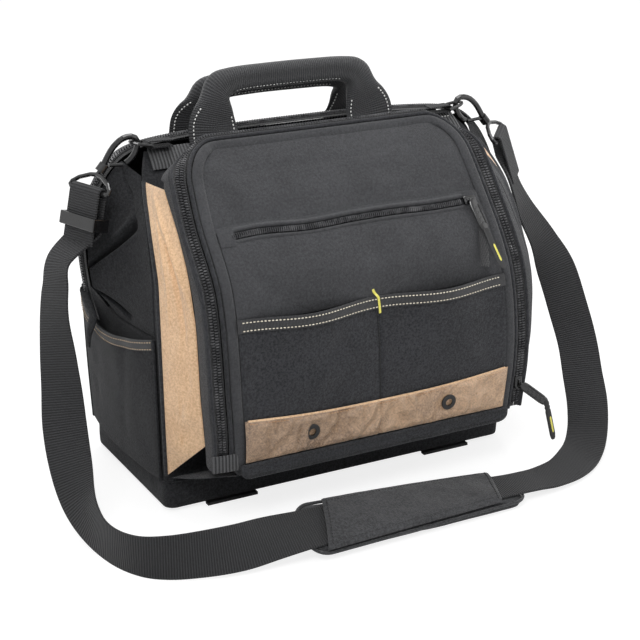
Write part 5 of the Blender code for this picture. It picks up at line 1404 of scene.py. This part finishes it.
def build_tan_gusset(word, side):
    def whole(u, v):
        corner_height = TAN_CORNER_FOOT + (TAN_TOP - TAN_CORNER_FOOT) * v
        seam_height = TAN_SEAM_FOOT + (TAN_TOP - TAN_SEAM_FOOT) * v
        corner = corner_point(side, corner_height)
        seam = seam_point(side, seam_height)
        gather = (corner - seam).normalized()
        point = corner.lerp(seam + gather * (GUSSET_GAP * 0.4), u)
        outward = Vector((side * 0.9, -0.45, 0))
        hold = sin(pi * clamp(u)) ** 0.6 * clamp(v * 12) * clamp((1 - v) * 8)
        lift = (0.0016 + folds(u, v, TAN_FOLDS) * 1.2 + rumple("tan", u * 3, 23, v * 8)) * hold
        return point + outward * lift
    split = 1.0 if side < 0 else TURNOVER_SHARE
    dress(cloth("tan_side_" + word, lambda u, v: whole(u * split, v), 40, 140, PANEL_CLOTH, TAN, (side, -0.4, 0)),
          ("tan_gusset_" + word,))
    seam = []
    for height in even(TAN_CORNER_FOOT, TAN_TOP - TAN_CORNER_FOOT, 60):
        corner = corner_point(side, height)
        place = Vector((corner.x + side * PANEL / 4, corner.y + PANEL * 0.65, height))
        seam.append((place, Vector((side, -1, 0))))
    dress(hose("corner_seam_" + word, seam, SEAM_CORD, DEEP_BLACK_AND_SHADE, 8), body="carrier")
    if side > 0:
        def turnover(u, v):
            return whole(split + (1 - split) * u, v) + Vector((side * PANEL * 0.1, 0, 0))
        dress(cloth("side_turnover", turnover, 24, 140, PANEL_CLOTH, DEEP_BLACK_AND_SHADE, (side, -0.4, 0)), body="carrier")


def build_compartment_floor():
    front = DOOR_BOTTOM - CLEARANCE * 3
    front_reach = door_reach(DOOR_BOTTOM) - DOOR
    rear_reach = BASE_DEPTH / 2 + CLEARANCE * 2 + PANEL

    def shape(u, v):
        across = 2 * u - 1
        fore = Vector((across * (DOOR_HALF_WIDTH - DOOR_CORNER / 4), -front_reach, front))
        aft = Vector((across * (BASE_WIDTH / 2 - BASE_CORNER / 2), -rear_reach, BASE_HEIGHT + PANEL * 2))
        point = fore.lerp(aft, v)
        return point + Vector((0, 0, -0.0012 * sin(pi * v) + rumple("floor", point.x, point.y, 0)))
    dress(cloth("compartment_base", shape, 90, 20, PANEL_CLOTH, BLACK, (0, -0.3, -1)), ("compartment_floor",))


def build_door_tab():
    """The webbing tab over the foot of the compartment's zipper."""
    def shape(u, v):
        height = DOOR_TAB_FOOT + DOOR_TAB_HEIGHT * v - 0.0010 * u
        y = -door_reach(DOOR_TAB_MIDDLE) - DOOR_TAB_LIFT - 0.0008 * sin(pi * u)
        return Vector((DOOR_TAB_LEFT + DOOR_TAB_LENGTH * u, y + 0.0012 * (1 - u), height))
    piece = cloth("door_zip_tab", shape, 16, 10, 0.0016, BAND, (0, -1, 0))
    settle(piece)
    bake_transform(piece)


# Inside the body

def build_interior():
    board_top = TRAY_WALL + CLEARANCE * 2 + BOARD
    half = wall_spread(DIVIDER_TOP) - DIVIDER_MARGIN

    def shape(u, v):
        height = board_top + (DIVIDER_TOP - board_top) * v
        y = DIVIDER_PLACE - PANEL / 2 + rumple("divider", u * 0.3, 0, height) * sin(pi * u)
        return Vector(((2 * u - 1) * half, y, height))
    dress(cloth("divider_cloth", shape, 60, 40, PANEL, LINING, (0, -1, 0)), ("inner_divider",))


# Handles

def handle_line(facing):
    """A handle's middle line from foot to foot."""
    foot = HANDLE_FOOT
    seat = HANDLE_HALF_SPAN
    rise = HANDLE_RISES[facing]
    top = foot + rise
    half = [Vector((-seat, 0, foot)), Vector((-seat, 0, foot + rise * 0.30)),
            Vector((-seat + HANDLE_SHOULDER / 5, 0, foot + rise * 0.58)),
            Vector((-seat + HANDLE_CORNER / 2, 0, foot + rise * 0.84)),
            Vector((-seat + HANDLE_CORNER * 1.15, 0, top - HANDLE_SHOULDER / 12)),
            Vector((-seat / 3, 0, top))]
    return even_spline(half + [Vector((-p.x, 0, p.z)) for p in reversed(half)], LINE_STEP)


HANDLE_LINES = {facing: handle_line(facing) for facing in (-1, 1)}
GRIP_SIDES = 28


def handle_section(facing, index):
    """A handle's cross section: flat webbing at its feet that folds into a thick grip."""
    line = HANDLE_LINES[facing]
    point = line[index]
    run = (line[min(index + 1, len(line) - 1)] - line[max(index - 1, 0)]).normalized()
    wide = Vector((-run.z, 0, run.x))
    height_share = clamp((point.z - HANDLE_FOOT) / HANDLE_RISES[facing])
    fold = smooth((height_share - 0.30) / 0.62)
    half_width = HANDLE_WEB_HALF + (HANDLE_GRIP_HALF - HANDLE_WEB_HALF) * fold
    half_thick = (WEBBING + (HANDLE_GRIP_THICKNESS - WEBBING) * fold) / 2
    lean = HANDLE_FOOT_REACH + (HANDLE_TOP_REACH - HANDLE_FOOT_REACH) * height_share
    centre = Vector((HANDLE_PLACE + point.x, facing * lean, point.z))
    peak = HANDLE_PEAK * fold * (2 * abs(run.x * run.z)) ** 2
    return centre, wide, half_width, half_thick, fold, peak


def build_handle(word, facing):
    rings = []
    line = HANDLE_LINES[facing]
    for i in range(len(line)):
        centre, wide, half_width, half_thick, fold, peak = handle_section(facing, i)
        ring = []
        for k, (cosine, sine) in enumerate(circle(GRIP_SIDES)):
            angle = 2 * pi * k / GRIP_SIDES
            square = 1 + 0.10 * abs(sin(2 * angle))
            crease = 1 - 0.10 * fold * exp(-((angle - 1.5 * pi) / 0.25) ** 2)
            sway = rumple("grip", centre.x, angle, centre.z) * fold
            pull_out = peak * max(0.0, cosine) ** 2
            ring.append(centre + wide * (half_width * cosine * square * crease + sway + pull_out)
                        + Vector((0, half_thick * sine * square * crease, 0)))
        rings.append(ring)
    dress(skin(word + "_grip", rings, GRIP, 60), (word + "_handle",))

    def sew(part, chosen, seat):
        for tag, face in (("front", -1), ("back", 1)):
            path = [seat(face, *handle_section(facing, i)[:4]) for i in chosen]
            stitches("_".join((word, part, tag, "stitches")), path, word + "_handle", WHITE_THREAD, "handle")
    legs = [i for i, p in enumerate(line) if p.z < HANDLE_FOOT + 0.034]
    for leg, side in SIDES:
        for row, inset in (("inner", -1), ("outer", 1)):
            def leg_seat(face, centre, wide, half_width, half_thick, inset=inset):
                place = centre + wide * inset * (half_width - HANDLE_STITCH_INSET)
                return place + Vector((0, face * (half_thick * 0.80 + 0.0003), 0)), Vector((0, face, 0))
            sew(leg + "_" + row, [i for i in legs if line[i].x * side > 0], leg_seat)

    def grip_seat(face, centre, wide, half_width, half_thick):
        down = wide if wide.z < 0 else -wide
        place = centre + down * half_width * 0.72 + Vector((0, face * half_thick * 0.78, 0))
        return place, Vector((0, face, -0.5))
    sew("grip", [i for i, p in enumerate(line) if abs(p.x) < HANDLE_HALF_SPAN - HANDLE_CORNER], grip_seat)


# Sliders and pulls

# a slider's outline, as (share of its length, size)
SLIDER_SHARES = ((-0.5, 0.62), (-0.42, 0.90), (-0.25, 1.0), (0.0, 0.96), (0.25, 1.0), (0.42, 0.90), (0.5, 0.62))
# a pull's plate and tail, as (share of the length, share of the width, share of the thickness)
PLATE_SHARES = ((0.0, 0.40, 0.8), (0.02, 0.62, 1.0), (0.10, 0.92, 1.0), (0.20, 1.0, 1.0), (0.80, 1.0, 1.0),
                (0.94, 0.86, 1.0), (1.0, 0.60, 0.9))
TAIL_SHARES = ((-0.05, 0.70, 0.9), (0.03, 0.95, 1.35), (0.08, 0.80, 0.9), (0.13, 0.98, 1.35), (0.18, 0.82, 0.9),
               (0.24, 1.0, 1.2), (0.34, 1.0, 1.0), (0.86, 1.0, 0.95), (0.96, 0.80, 0.8), (1.0, 0.45, 0.6))
# the small raised parts of a pull, as (place, half width, half height, rise) stations
BEAD = ((-0.0008, 0.0016, 0.0003, 0), (0.0, 0.0020, 0.0007, 0), (0.0008, 0.0016, 0.0003, 0))
RIB = ((-0.009, 0.0003, 0.0003, 0), (-0.0085, 0.0006, 0.0005, 0), (0.0085, 0.0006, 0.0005, 0),
       (0.009, 0.0003, 0.0003, 0))
BAR = ((0, 0.0005, 0.0002, 0), (0.0012, 0.0010, 0.00035, 0), (0.0145, 0.0010, 0.00035, 0),
       (0.0160, 0.0005, 0.0002, 0))
SLIDER_EASE = 0.3
FLAP_LENGTH = 0.036
FLAP_WIDTH = 0.0085


def pillow(length, width, height):
    """A small moulded block with rounded ends and edges, from z 0 up."""
    half = height / 2
    stations = [(share * length, width / 2 * size, half * (1 - SLIDER_EASE * (1 - size)), half)
                for share, size in SLIDER_SHARES]
    points, faces = small_loft(stations, 16)
    return np.array([(x, clamp(y * 1.25, -width / 2, width / 2), clamp((z - half) * 1.3 + half, 0, height))
                     for x, y, z in points]), faces


def build_slider(name, place, ahead, outward, node):
    turn = frame_of(ahead, outward)
    base = Vector(place) + outward.normalized() * CLEARANCE
    bridge = [(-0.0038 * cos(angle), 0.0011, 0.0007, SLIDER_HEIGHT * 0.62 + 0.0014 * sin(angle))
              for angle in even(0.0, pi, 8)]
    parts = [placed(pillow(SLIDER_LENGTH, SLIDER_WIDTH, SLIDER_HEIGHT * 0.72), base, turn),
             placed(small_loft(bridge, 8), base, turn)]
    dress(join(name, parts, ENAMEL), (node,))


def pull_loft(shares, length, width, sides=12):
    return small_loft([(length * along_it, width / 2 * wide, PULL_THICKNESS / 2 * thick, 0)
                       for along_it, wide, thick in shares], sides)


def build_pull(name, place, hang, outward, node, droop=None, flap=None):
    """A moulded plate with ribs along hang, a ringed tail with a plain bar along droop, a flat end along flap."""
    body = BODY_OF[node]
    outward = Vector(outward).normalized()
    hang = Vector(hang).normalized()
    turn = frame_of(hang, outward)
    tail_turn = frame_of(droop or hang, outward)
    start = Vector(place) + outward * (SLIDER_HEIGHT + PULL_THICKNESS / 2 + CLEARANCE * 2)
    raised = [(BEAD, 8, 0.30 + 0.16 * i, 0) for i in range(4)]
    raised += [(RIB, 6, 0.52, side * 0.38) for side in (-1, 1)]
    parts = [pull_loft(PLATE_SHARES, PULL_LENGTH, PULL_WIDTH)]
    parts += [shifted(small_loft(stations, sides), PULL_LENGTH * x, PULL_WIDTH * y, PULL_THICKNESS / 2)
              for stations, sides, x, y in raised]
    dress(join(name + "_plate", [placed(part, start, turn) for part in parts], PLASTIC, 50), body=body)
    knee = start + hang * PULL_LENGTH
    tail = placed(pull_loft(TAIL_SHARES, PULL_TAIL, PULL_TAIL_WIDTH), knee, tail_turn)
    dress(join(name + "_tail", [tail], RUBBER, 60), (node,))
    bar = placed(shifted(small_loft(BAR, 8), PULL_TAIL * 0.38, 0.0006, PULL_THICKNESS * 0.44), knee, tail_turn)
    dress(join(name + "_bar", [bar], YELLOW_THREAD, 60), body=body)
    if flap:
        strip = small_loft([(length, FLAP_WIDTH / 2, TAPE / 2, 0) for length in even(0.0, FLAP_LENGTH, 4)], 10)
        seat = start + hang * PULL_LENGTH * 0.86 - outward * PULL_THICKNESS * 0.9
        dress(join(name + "_flap", [placed(strip, seat, frame_of(flap, outward))], ZIP_TAPE, 50), body=body)


def build_sliders():
    normal = door_normal(ZIP_LINE)
    pocket = door_point(POCKET_SLIDER_PLACE, ZIP_LINE, TAPE + CHAIN_RISE + CLEARANCE)
    build_slider("pocket_slider_body", pocket, Vector((1, 0, 0)), normal, "pocket_zip_slider")
    down = (door_point(POCKET_SLIDER_PLACE + PULL_LENGTH * 0.16, ZIP_LINE - PULL_LENGTH * 1.8, TRIM_PROUD)
            - pocket).normalized()
    flap = (down + Vector((-0.42, 0, -0.1))).normalized()
    build_pull("pocket_pull", pocket, down, normal, "pocket_zip_pull", flap=flap)
    coarse = [place for place, outward in outline_path(NEAR + DOOR_TAPE_WIDTH + MOUTH_GAP / 4, -DOOR_TAPE_DEEP)]
    lower = [p for p in coarse if p.x > 0 and p.z <= DOOR_SLIDER_HEIGHT][0]
    upper = [p for p in coarse if p.x > 0 and p.z > DOOR_SLIDER_HEIGHT][-1]
    place = lower.lerp(upper, (DOOR_SLIDER_HEIGHT - lower.z) / (upper.z - lower.z))
    outward = door_normal(DOOR_SLIDER_HEIGHT)
    build_slider("door_slider_body", place + outward * CLEARANCE, Vector((0, 0, 1)), outward, "door_zip_slider")
    hang = Vector((0.72, -0.35, -0.62)).normalized()
    droop = Vector((0.20, -0.10, -0.97))
    build_pull("door_pull", place + outward * CLEARANCE * 2, hang, outward + hang * 0.2, "door_zip_pull", droop)
    share = 1 - dome_share_at(MAIN_SLIDER_HEIGHT)
    out = dome_outward(share)
    seat = dome(share) + out * (TAPE + CHAIN_RISE + CLEARANCE)
    build_slider("main_slider_body", seat, Vector((0, 0, 1)), out, "main_zip_slider")
    build_pull("main_pull", seat, Vector((0.28, 0, -1)), out, "main_zip_pull")


# Hooks, rings and the strap

HOOK_UP = {"left": Vector((0.66, 0, 0.75)).normalized(), "right": Vector((-0.66, 0, 0.75)).normalized()}
RING_HANG = {"left": Vector((-0.62, -0.20, -0.76)), "right": Vector((0.60, -0.45, -0.66))}
RING_ACROSS = {"left": Vector((-0.30, 0.95, 0)), "right": Vector((0.75, 0.66, 0))}
STRAP_HANG = {"left": Vector((-0.22, -0.07, -0.97)), "right": Vector((0.16, -0.25, -0.95))}
HOOK_CREST = 1.06
LEFT_ROUTE = (
    ((-0.2353, -0.0250, 0.2200), (-0.10, 0.99, 0)),
    ((-0.2430, -0.0330, 0.1980), (-0.20, 0.98, 0)),
    ((-0.2475, -0.0400, 0.1740), (-0.30, 0.95, 0)),
    ((-0.2493, -0.0490, 0.1453), (-0.515, 0.857, 0)),
    ((-0.2506, -0.0570, 0.1182), (-0.66, 0.74, -0.05)),
    ((-0.2535, -0.0680, 0.0910), (-0.80, 0.52, -0.18)),
    ((-0.2560, -0.0840, 0.0660), (-0.72, 0.30, -0.50)),
    ((-0.2580, -0.1060, 0.0420), (-0.45, 0.15, -0.80)),
    ((-0.2560, -0.1300, 0.0280), (-0.15, 0.05, -0.97)),
    ((-0.2500, -0.1560, 0.0210), (0.10, 0, -1)),
    ((-0.2370, -0.1790, 0.0188), (0.12, 0.02, -1)),
    ((-0.2170, -0.1925, 0.0185), (0.05, -0.08, -1)),
    ((-0.1900, -0.2000, 0.0185), (0, -0.25, -0.97)),
    ((-0.1600, -0.2030, 0.0182), (0, -0.50, -0.87)),
    ((-0.1320, -0.2025, 0.0190), (0, -0.74, -0.67)),
)
RIGHT_ROUTE = (
    ((0.2060, -0.0350, 0.2410), (0.68, 0.73, 0)),
    ((0.2130, -0.0370, 0.2230), (0.72, 0.70, 0)),
    ((0.2220, -0.0410, 0.2020), (0.85, 0.53, 0)),
    ((0.2370, -0.0490, 0.1740), (0.97, 0.24, 0)),
    ((0.2460, -0.0610, 0.1450), (0.94, -0.34, 0)),
    ((0.2500, -0.0750, 0.1140), (0.90, -0.44, 0)),
    ((0.2525, -0.0900, 0.0820), (0.90, -0.44, -0.05)),
    ((0.2480, -0.1070, 0.0550), (0.84, -0.54, -0.08)),
    ((0.2405, -0.1260, 0.0340), (0.62, -0.78, -0.10)),
    ((0.2275, -0.1450, 0.0160), (0.25, -0.95, -0.18)),
    ((0.2085, -0.1630, 0.0060), (0.02, -0.98, -0.18)),
    ((0.1800, -0.1810, 0.0035), (0, -1, -0.10)),
    ((0.1500, -0.1895, 0.0040), (0, -1, -0.04)),
    ((0.1280, -0.1925, 0.0062), (0, -1, 0)),
)
PAD_PLACES = {"left": (-0.104, -0.085, -0.066, -0.047, -0.028, -0.012, 0.0036),
              "right": (0.110, 0.092, 0.074, 0.056, 0.038, 0.020, 0.0040)}


def pad_lean(place):
    return along(PAD_LEANS, (place - PAD_CENTRE) / PAD_LENGTH)


def leaned(point):
    """A place on the upright pad, leaned back on the pad's rear lower edge."""
    angle = pad_lean(point.x)
    ahead, up = point.y - PAD_PIVOT, point.z - PAD_FLOOR
    return Vector((point.x, PAD_PIVOT + ahead * cos(angle) + up * sin(angle),
                   PAD_FLOOR + up * cos(angle) - ahead * sin(angle)))


def lean_turned(direction, place):
    angle = pad_lean(place)
    return Vector((direction[0], direction[1] * cos(angle) + direction[2] * sin(angle),
                   direction[2] * cos(angle) - direction[1] * sin(angle)))


def pad_stations(places):
    """The webbing through the pad: its places and the way across it."""
    return [(leaned(Vector((place, PAD_LINE, PAD_FLOOR + PAD_HEIGHT / 2))), lean_turned((0, 0, -1), place))
            for place in places]


def ring_frame(word, side):
    """The middle of a ring's bar, and the ring's reach from it."""
    bar = Vector((side * RING_BAR_PLACES[word], RING_DEPTH_PLACE, RING_BAR_HEIGHT))
    return bar, Vector((side * RING_REACH, 0, RING_LIFT))


def hook_frame(word, side):
    """The foot of a snap hook that hangs in its ring, and the way up it."""
    bar, out = ring_frame(word, side)
    up = HOOK_UP[word]
    across = Vector((side * -up.z, 0, up.x * side))
    crest = bar + out + out.normalized() * (RING_WIRE - HOOK_WIRE / 2)
    inside = HOOK_SEAT * HOOK_CREST - HOOK_WIRE
    return crest - up * (inside - RING_WIRE - CLEARANCE * 3) - across * HOOK_WIDTH * 0.42, up


def swivel_bar(word, side):
    """The middle of the bar that the webbing folds over, and the way along it."""
    origin, up = hook_frame(word, side)
    neck = origin - up * HOOK_BARREL * 0.5 - up * (CLEARANCE + SWIVEL_WIRE * 1.4)
    hang = RING_HANG[word].normalized()
    sideways = RING_ACROSS[word]
    sideways = (sideways - hang * sideways.dot(hang)).normalized()
    return neck + hang * SWIVEL_DROP, sideways


def strap_stations(word, side, route):
    """Webbing from its tail, over the swivel's bar, down its route and through the pad."""
    bar, outer = swivel_bar(word, side)
    drop = (STRAP_HANG[word] - outer * outer.dot(STRAP_HANG[word])).normalized()
    face = (drop.cross(outer) * -side).normalized()
    tail = [(bar + drop * STRAP_TAIL * t - face * STRAP_FOLD, outer) for t in (1.0, 0.66, 0.33, 0.08)]
    over = [(bar - (face * cos(angle) + drop * sin(angle)) * STRAP_FOLD, outer) for angle in even(0.0, pi, 8)]
    level = (0.08, 0.45, 0.75) if word == "left" else (0.08, 0.35)
    down = [(bar + drop * STRAP_TAIL * t + face * STRAP_FOLD, outer) for t in level]
    away = [(Vector(p), Vector(w).normalized()) for p, w in route]
    return tail + over + down + away + pad_stations(PAD_PLACES[word])


def webbing_rings(stations, width, thickness, spacing):
    """Sections of webbing through (place, way across) stations, closer where it turns."""
    points = [place for place, wide in stations]
    wides = [wide for place, wide in stations]
    count = 60 * len(points)
    fine = [(spline(points, i / count), spline(wides, i / count)) for i in range(count + 1)]
    chosen = [fine[0]]
    heading = (fine[1][0] - fine[0][0]).normalized()
    run = 0.0
    for before, after in zip(fine, fine[1:]):
        run += (after[0] - before[0]).length
        ahead = (after[0] - before[0]).normalized()
        if run >= spacing or (ahead - heading).length > 0.12:
            chosen.append(after)
            heading = ahead
            run = 0.0
    chosen[-1] = fine[-1]
    half, thick_half = width / 2, thickness / 2
    row = [share * (half - 0.0006) for share in even(-1, 2, 8)]
    profile = [(a, -thick_half) for a in row] + [(half, -thick_half * 0.3), (half, thick_half * 0.3)]
    profile += [(-a, thick_half) for a in row] + [(-half, thick_half * 0.3), (-half, -thick_half * 0.3)]
    rings = []
    for i, (point, wide) in enumerate(chosen):
        ahead = (chosen[min(i + 1, len(chosen) - 1)][0] - chosen[max(i - 1, 0)][0]).normalized()
        wide = (wide - ahead * wide.dot(ahead)).normalized()
        thick = ahead.cross(wide)
        cup = rumple("webbing", point.x, point.y, point.z)
        rings.append([point + wide * a + thick * (b + cup * (1 - (a / half) ** 2)) for a, b in profile])
    return rings


def build_strap():
    for word, side, route in (("left", -1, LEFT_ROUTE), ("right", 1, RIGHT_ROUTE)):
        rings = webbing_rings(strap_stations(word, side, route), STRAP_WIDTH, STRAP, STRAP_STEP)
        dress(skin("strap_webbing_" + word, rings, WEB, 45), ("strap_" + word,))


def build_ring_tabs():
    for word, side in SIDES:
        bar = ring_frame(word, side)[0]
        line = RING_WIRE + CLEARANCE * 2 + RING_TAB_SKIN / 2
        places = [(-RING_TAB_LENGTH * (1 - i / 8), line - 0.0006 * (1 - i / 8)) for i in range(8)]
        places += [(line * cos(angle), line * sin(angle)) for angle in even(pi / 2, -pi, 12)]
        places += [(-RING_TAB_LENGTH * i / 8, -line) for i in range(1, 9)]
        path = [(bar + Vector((side * out, 0, up)), Vector((0, 1, 0))) for out, up in places]
        rings = webbing_rings(path, RING_TAB_HALF * 2, RING_TAB_SKIN, RING_TAB_STEP)
        dress(skin("ring_tab_webbing_" + word, rings, WEB, 45), ("ring_tab_" + word,))


# The padded part of the strap

def pad_half_height(across):
    """Half the pad's height at a place along it, rounded off towards its ends."""
    past = clamp((abs(across) - PAD_LENGTH / 2 + PAD_CORNER) / PAD_CORNER)
    return PAD_HEIGHT / 2 - PAD_CORNER * (1 - sqrt(1 - past * past)), past


def pad_rim(ahead, inset=0.0, count=48):
    """Leaned places round the pad's edge, with the way outward from each."""
    middle = PAD_FLOOR + PAD_HEIGHT / 2
    reach = PAD_LENGTH / 2 - inset
    upper = []
    for angle in even(0.0, pi, count):
        across = reach * copysign(abs(cos(angle)) ** 0.45, cos(angle))
        upper.append((across, pad_half_height(across)[0] - inset))
    rim = []
    for side, row in ((1, upper), (-1, upper[::-1])):
        for across, half in row[:-1]:
            place = PAD_CENTRE + across
            turned = leaned(Vector((place, ahead, middle + side * half)))
            out = lean_turned((across * 0.4, 0, side * half), place)
            rim.append((turned, out))
    return rim


def puff(thing):
    """Let the cushion swell under its own pressure, by no more than the cap."""
    rest_remesh = thing.modifiers.new("voxels", "REMESH")
    rest_remesh.mode = "VOXEL"
    rest_remesh.voxel_size = PUFF_VOXEL
    rest_remesh.use_smooth_shade = True
    bake(thing)
    start = np.array([v.co for v in thing.data.vertices])
    swell = thing.modifiers.new("swell", "CLOTH")
    settings = swell.settings
    settings.use_pressure = True
    settings.uniform_pressure_force = PUFF_PRESSURE
    settings.quality = 6
    settings.tension_stiffness = 25
    settings.compression_stiffness = 25
    settings.bending_stiffness = 2.0
    settings.effector_weights.gravity = 0.0
    scene = bpy.context.scene
    for step in range(1, PUFF_FRAMES + 1):
        scene.frame_set(step)
    bake(thing)
    scene.frame_set(1)
    swollen = np.array([v.co for v in thing.data.vertices])
    moved = swollen - start
    reach = np.linalg.norm(moved, axis=1, keepdims=True)
    moved *= np.minimum(1.0, PUFF_CAP / np.maximum(reach, 1e-9))
    thing.data.vertices.foreach_set("co", (start + moved).astype(np.float32).ravel())


def bake(thing):
    """Keep what the modifiers have made."""
    graph = bpy.context.evaluated_depsgraph_get()
    made = bpy.data.meshes.new_from_object(thing.evaluated_get(graph))
    thing.modifiers.clear()
    thing.data = made


def pad_slice(half, thick):
    """A rounded slice across the pad, as (ahead, up) places."""
    return [(thick / 2 * (1 - copysign(abs(cosine) ** 0.5, cosine)), half * copysign(abs(sine) ** 0.35, sine))
            for cosine, sine in circle(PAD_SIDES)]


def build_pad():
    middle = PAD_FLOOR + PAD_HEIGHT / 2
    back = PAD_LINE + STRAP / 2 + CLEARANCE
    rings = []
    count = 60
    for i in range(count + 1):
        across = (PAD_LENGTH / 2 - 0.0004) * sin(pi / 2 * (2 * i / count - 1))
        half, past = pad_half_height(across)
        thick = PAD_THICKNESS * (1 - 0.25 * past * past) - 0.0004
        rings.append([Vector((PAD_CENTRE + across, back + 0.0002 + ahead, middle + up))
                      for ahead, up in pad_slice(half - 0.0004, thick)])
    cushion = skin("pad_cushion", rings, BLACK, 60)
    puff(cushion)
    cushion.data.materials.clear()
    cushion.data.materials.append(PAD_CLOTH.material)
    cushion.data.shade_smooth()
    low, high = back + 0.00005, back + PAD_THICKNESS + 0.0006
    for vertex in cushion.data.vertices:
        place = Vector((vertex.co.x, clamp(vertex.co.y, low, high), max(vertex.co.z, PAD_FLOOR - 0.0002)))
        vertex.co = leaned(place)
    dress(cushion, ("shoulder_pad",))
    dress(hose("pad_edge", pad_rim(back + 0.0016, 0.0004), PAD_WELT, PAD_CLOTH, 8, closed=True), body="pad")
    build_sleeve(middle)


def build_sleeve(middle):
    front = PAD_LINE - STRAP / 2 - CLEARANCE
    half = PAD_HEIGHT / 2

    def sleeve_point(across, up, lift=0.0):
        slant = 0.009 * up
        hug = (abs(up) ** 10) * (STRAP + CLEARANCE)
        crown = 0.0012 * cos(pi / 2 * up) ** 0.6
        x = across * PAD_SLEEVE_LENGTH / 2 + slant * abs(across)
        wave = rumple("sleeve_broad", x, 31, up * 0.02) + rumple("sleeve_fine", x, 37, up * 0.02)
        y = front - PAD_SLEEVE + hug - crown - wave * (1 - abs(up) ** 6) - lift
        return leaned(Vector((PAD_CENTRE + x, y, middle + up * (half - CLEARANCE))))

    def sleeve_row(places, lift):
        return [(sleeve_point(across, up, lift),
                 lean_turned((0, -1, 0), PAD_CENTRE + across * PAD_SLEEVE_LENGTH / 2)) for across, up in places]
    piece = cloth("pad_sleeve_cloth", lambda u, v: sleeve_point(2 * u - 1, 2 * v - 1), 120, 40, PAD_SLEEVE * 0.8,
                  PAD_CLOTH, (0, -0.3, 1))
    dress(piece, ("pad_sleeve",))
    for end, across in (("left", -0.955), ("right", 0.955)):
        path = sleeve_row([(across, up) for up in even(-0.9, 1.8, 30)], 0.0002)
        stitches("sleeve_stitches_" + end, path, "pad", DARK_THREAD, "hem")
    for row, up in (("upper", 0.80), ("lower", -0.80)):
        path = sleeve_row([(across, up) for across in even(-0.95, 1.9, 60)], 0.0001)
        stitches("sleeve_edge_stitches_" + row, path, "pad", DARK_THREAD, "sleeve")


# Nodes that keep their own shape

def refinish():
    kept = {BOARDING: ("base_board",), RUBBER: ("foot_left", "foot_right"), PLASTIC: ("strap_adjuster",),
            ENAMEL: ("d_ring_left", "d_ring_right", "swivel_ring_left", "swivel_ring_right", "hook_gate_left",
                     "hook_gate_right", "snap_hook_left", "snap_hook_right"),
            RING_ENAMEL: ("eyelet_left", "eyelet_right")}
    for finish, names in kept.items():
        for name in names:
            thing = frame["nodes"][name]
            for slot in thing.material_slots:
                slot.material = finish.material


# Room, light and camera

def add_mix(tree, share, first, second, output):
    """Two shaders mixed into a node tree's output."""
    mixed = add_node(tree, "MixShader", i0=share, i1=first.outputs[0], i2=second.outputs[0])
    tree.links.new(mixed.outputs[0], tree.nodes[output].inputs["Surface"])


def build_room():
    corners = [(x * FLOOR_SIZE, y * FLOOR_SIZE, 0) for x, y in ((-1, -1), (1, -1), (1, 1), (-1, 1))]
    mesh = bpy.data.meshes.new("floor")
    mesh.from_pydata(corners, [], [(0, 1, 2, 3)])
    floor = bpy.data.objects.new("floor", mesh)
    floor.location.z = -FOOT_HEIGHT - 0.0002
    bpy.context.scene.collection.objects.link(floor)
    paper = Finish("paper", "", 0.9, specular=0.1)
    paper.set("Base Color", (0.90, 0.90, 0.90, 1))
    glow = paper.node("Emission", Color=(1, 1, 1, 1), Strength=1.3)
    share = paper.math("MULTIPLY", paper.node("LightPath").outputs["Is Camera Ray"], 0.62)
    add_mix(paper.tree, share, paper.shader, glow, "Material Output")
    mesh.materials.append(paper.material)
    world = bpy.data.worlds.new("studio")
    world.use_nodes = True
    bpy.context.scene.world = world
    tree = world.node_tree
    sky = tree.nodes["Background"]
    sky.inputs["Color"].default_value = (1, 1, 1, 1)
    sky.inputs["Strength"].default_value = 0.45
    white = add_node(tree, "Background", Color=(1, 1, 1, 1), Strength=1.0)
    rays = add_node(tree, "LightPath").outputs
    seen = rays["Is Camera Ray"]
    for word in ("Is Glossy Ray", "Is Transmission Ray"):
        seen = add_node(tree, "Math", operation="MAXIMUM", i0=seen, i1=rays[word]).outputs[0]
    add_mix(tree, seen, sky, white, "World Output")


FLOOR_SIZE = 6.0
LAMP_AIM = (0, 0, 0.15)


def add_lamp(name, place, width, power):
    data = bpy.data.lights.new(name, "AREA")
    data.shape = "SQUARE"
    data.size = width
    data.energy = power
    lamp = bpy.data.objects.new(name, data)
    bpy.context.scene.collection.objects.link(lamp)
    lamp.location = place
    lamp.rotation_euler = (Vector(LAMP_AIM) - Vector(place)).to_track_quat("-Z", "Y").to_euler()


CAMERA_YAW = 28.3
CAMERA_PITCH = 20.0
CAMERA_PLACE = (-0.6417, -1.2328, 0.6239)
CAMERA_LENS = 90.06


def build_camera():
    yaw, pitch = radians(CAMERA_YAW), radians(CAMERA_PITCH)
    right = Vector((cos(yaw), -sin(yaw), 0))
    ahead = Vector((sin(yaw) * cos(pitch), cos(yaw) * cos(pitch), -sin(pitch)))
    up = right.cross(ahead)
    data = bpy.data.cameras.new("camera")
    data.sensor_width = 36.0
    data.lens = CAMERA_LENS
    camera = bpy.data.objects.new("camera", data)
    turn = Matrix((right, up, -ahead)).transposed().to_4x4()
    camera.matrix_world = Matrix.Translation(CAMERA_PLACE) @ turn
    bpy.context.scene.collection.objects.link(camera)
    bpy.context.scene.camera = camera


build_room()
add_lamp("key", (-1.1, -1.5, 2.1), 0.9, 29.0)
add_lamp("fill", (1.6, -1.3, 1.2), 1.6, 9.0)
add_lamp("top", (0.1, 0.3, 2.3), 1.1, 26.0)
build_camera()
build_base()
build_body()
build_door()
build_gussets()
build_interior()
build_handle("front", -1)
build_handle("rear", 1)
build_sliders()
build_strap()
build_ring_tabs()
build_pad()
build_door_tab()
refinish()
bpy.context.scene.view_settings.view_transform = "Standard"
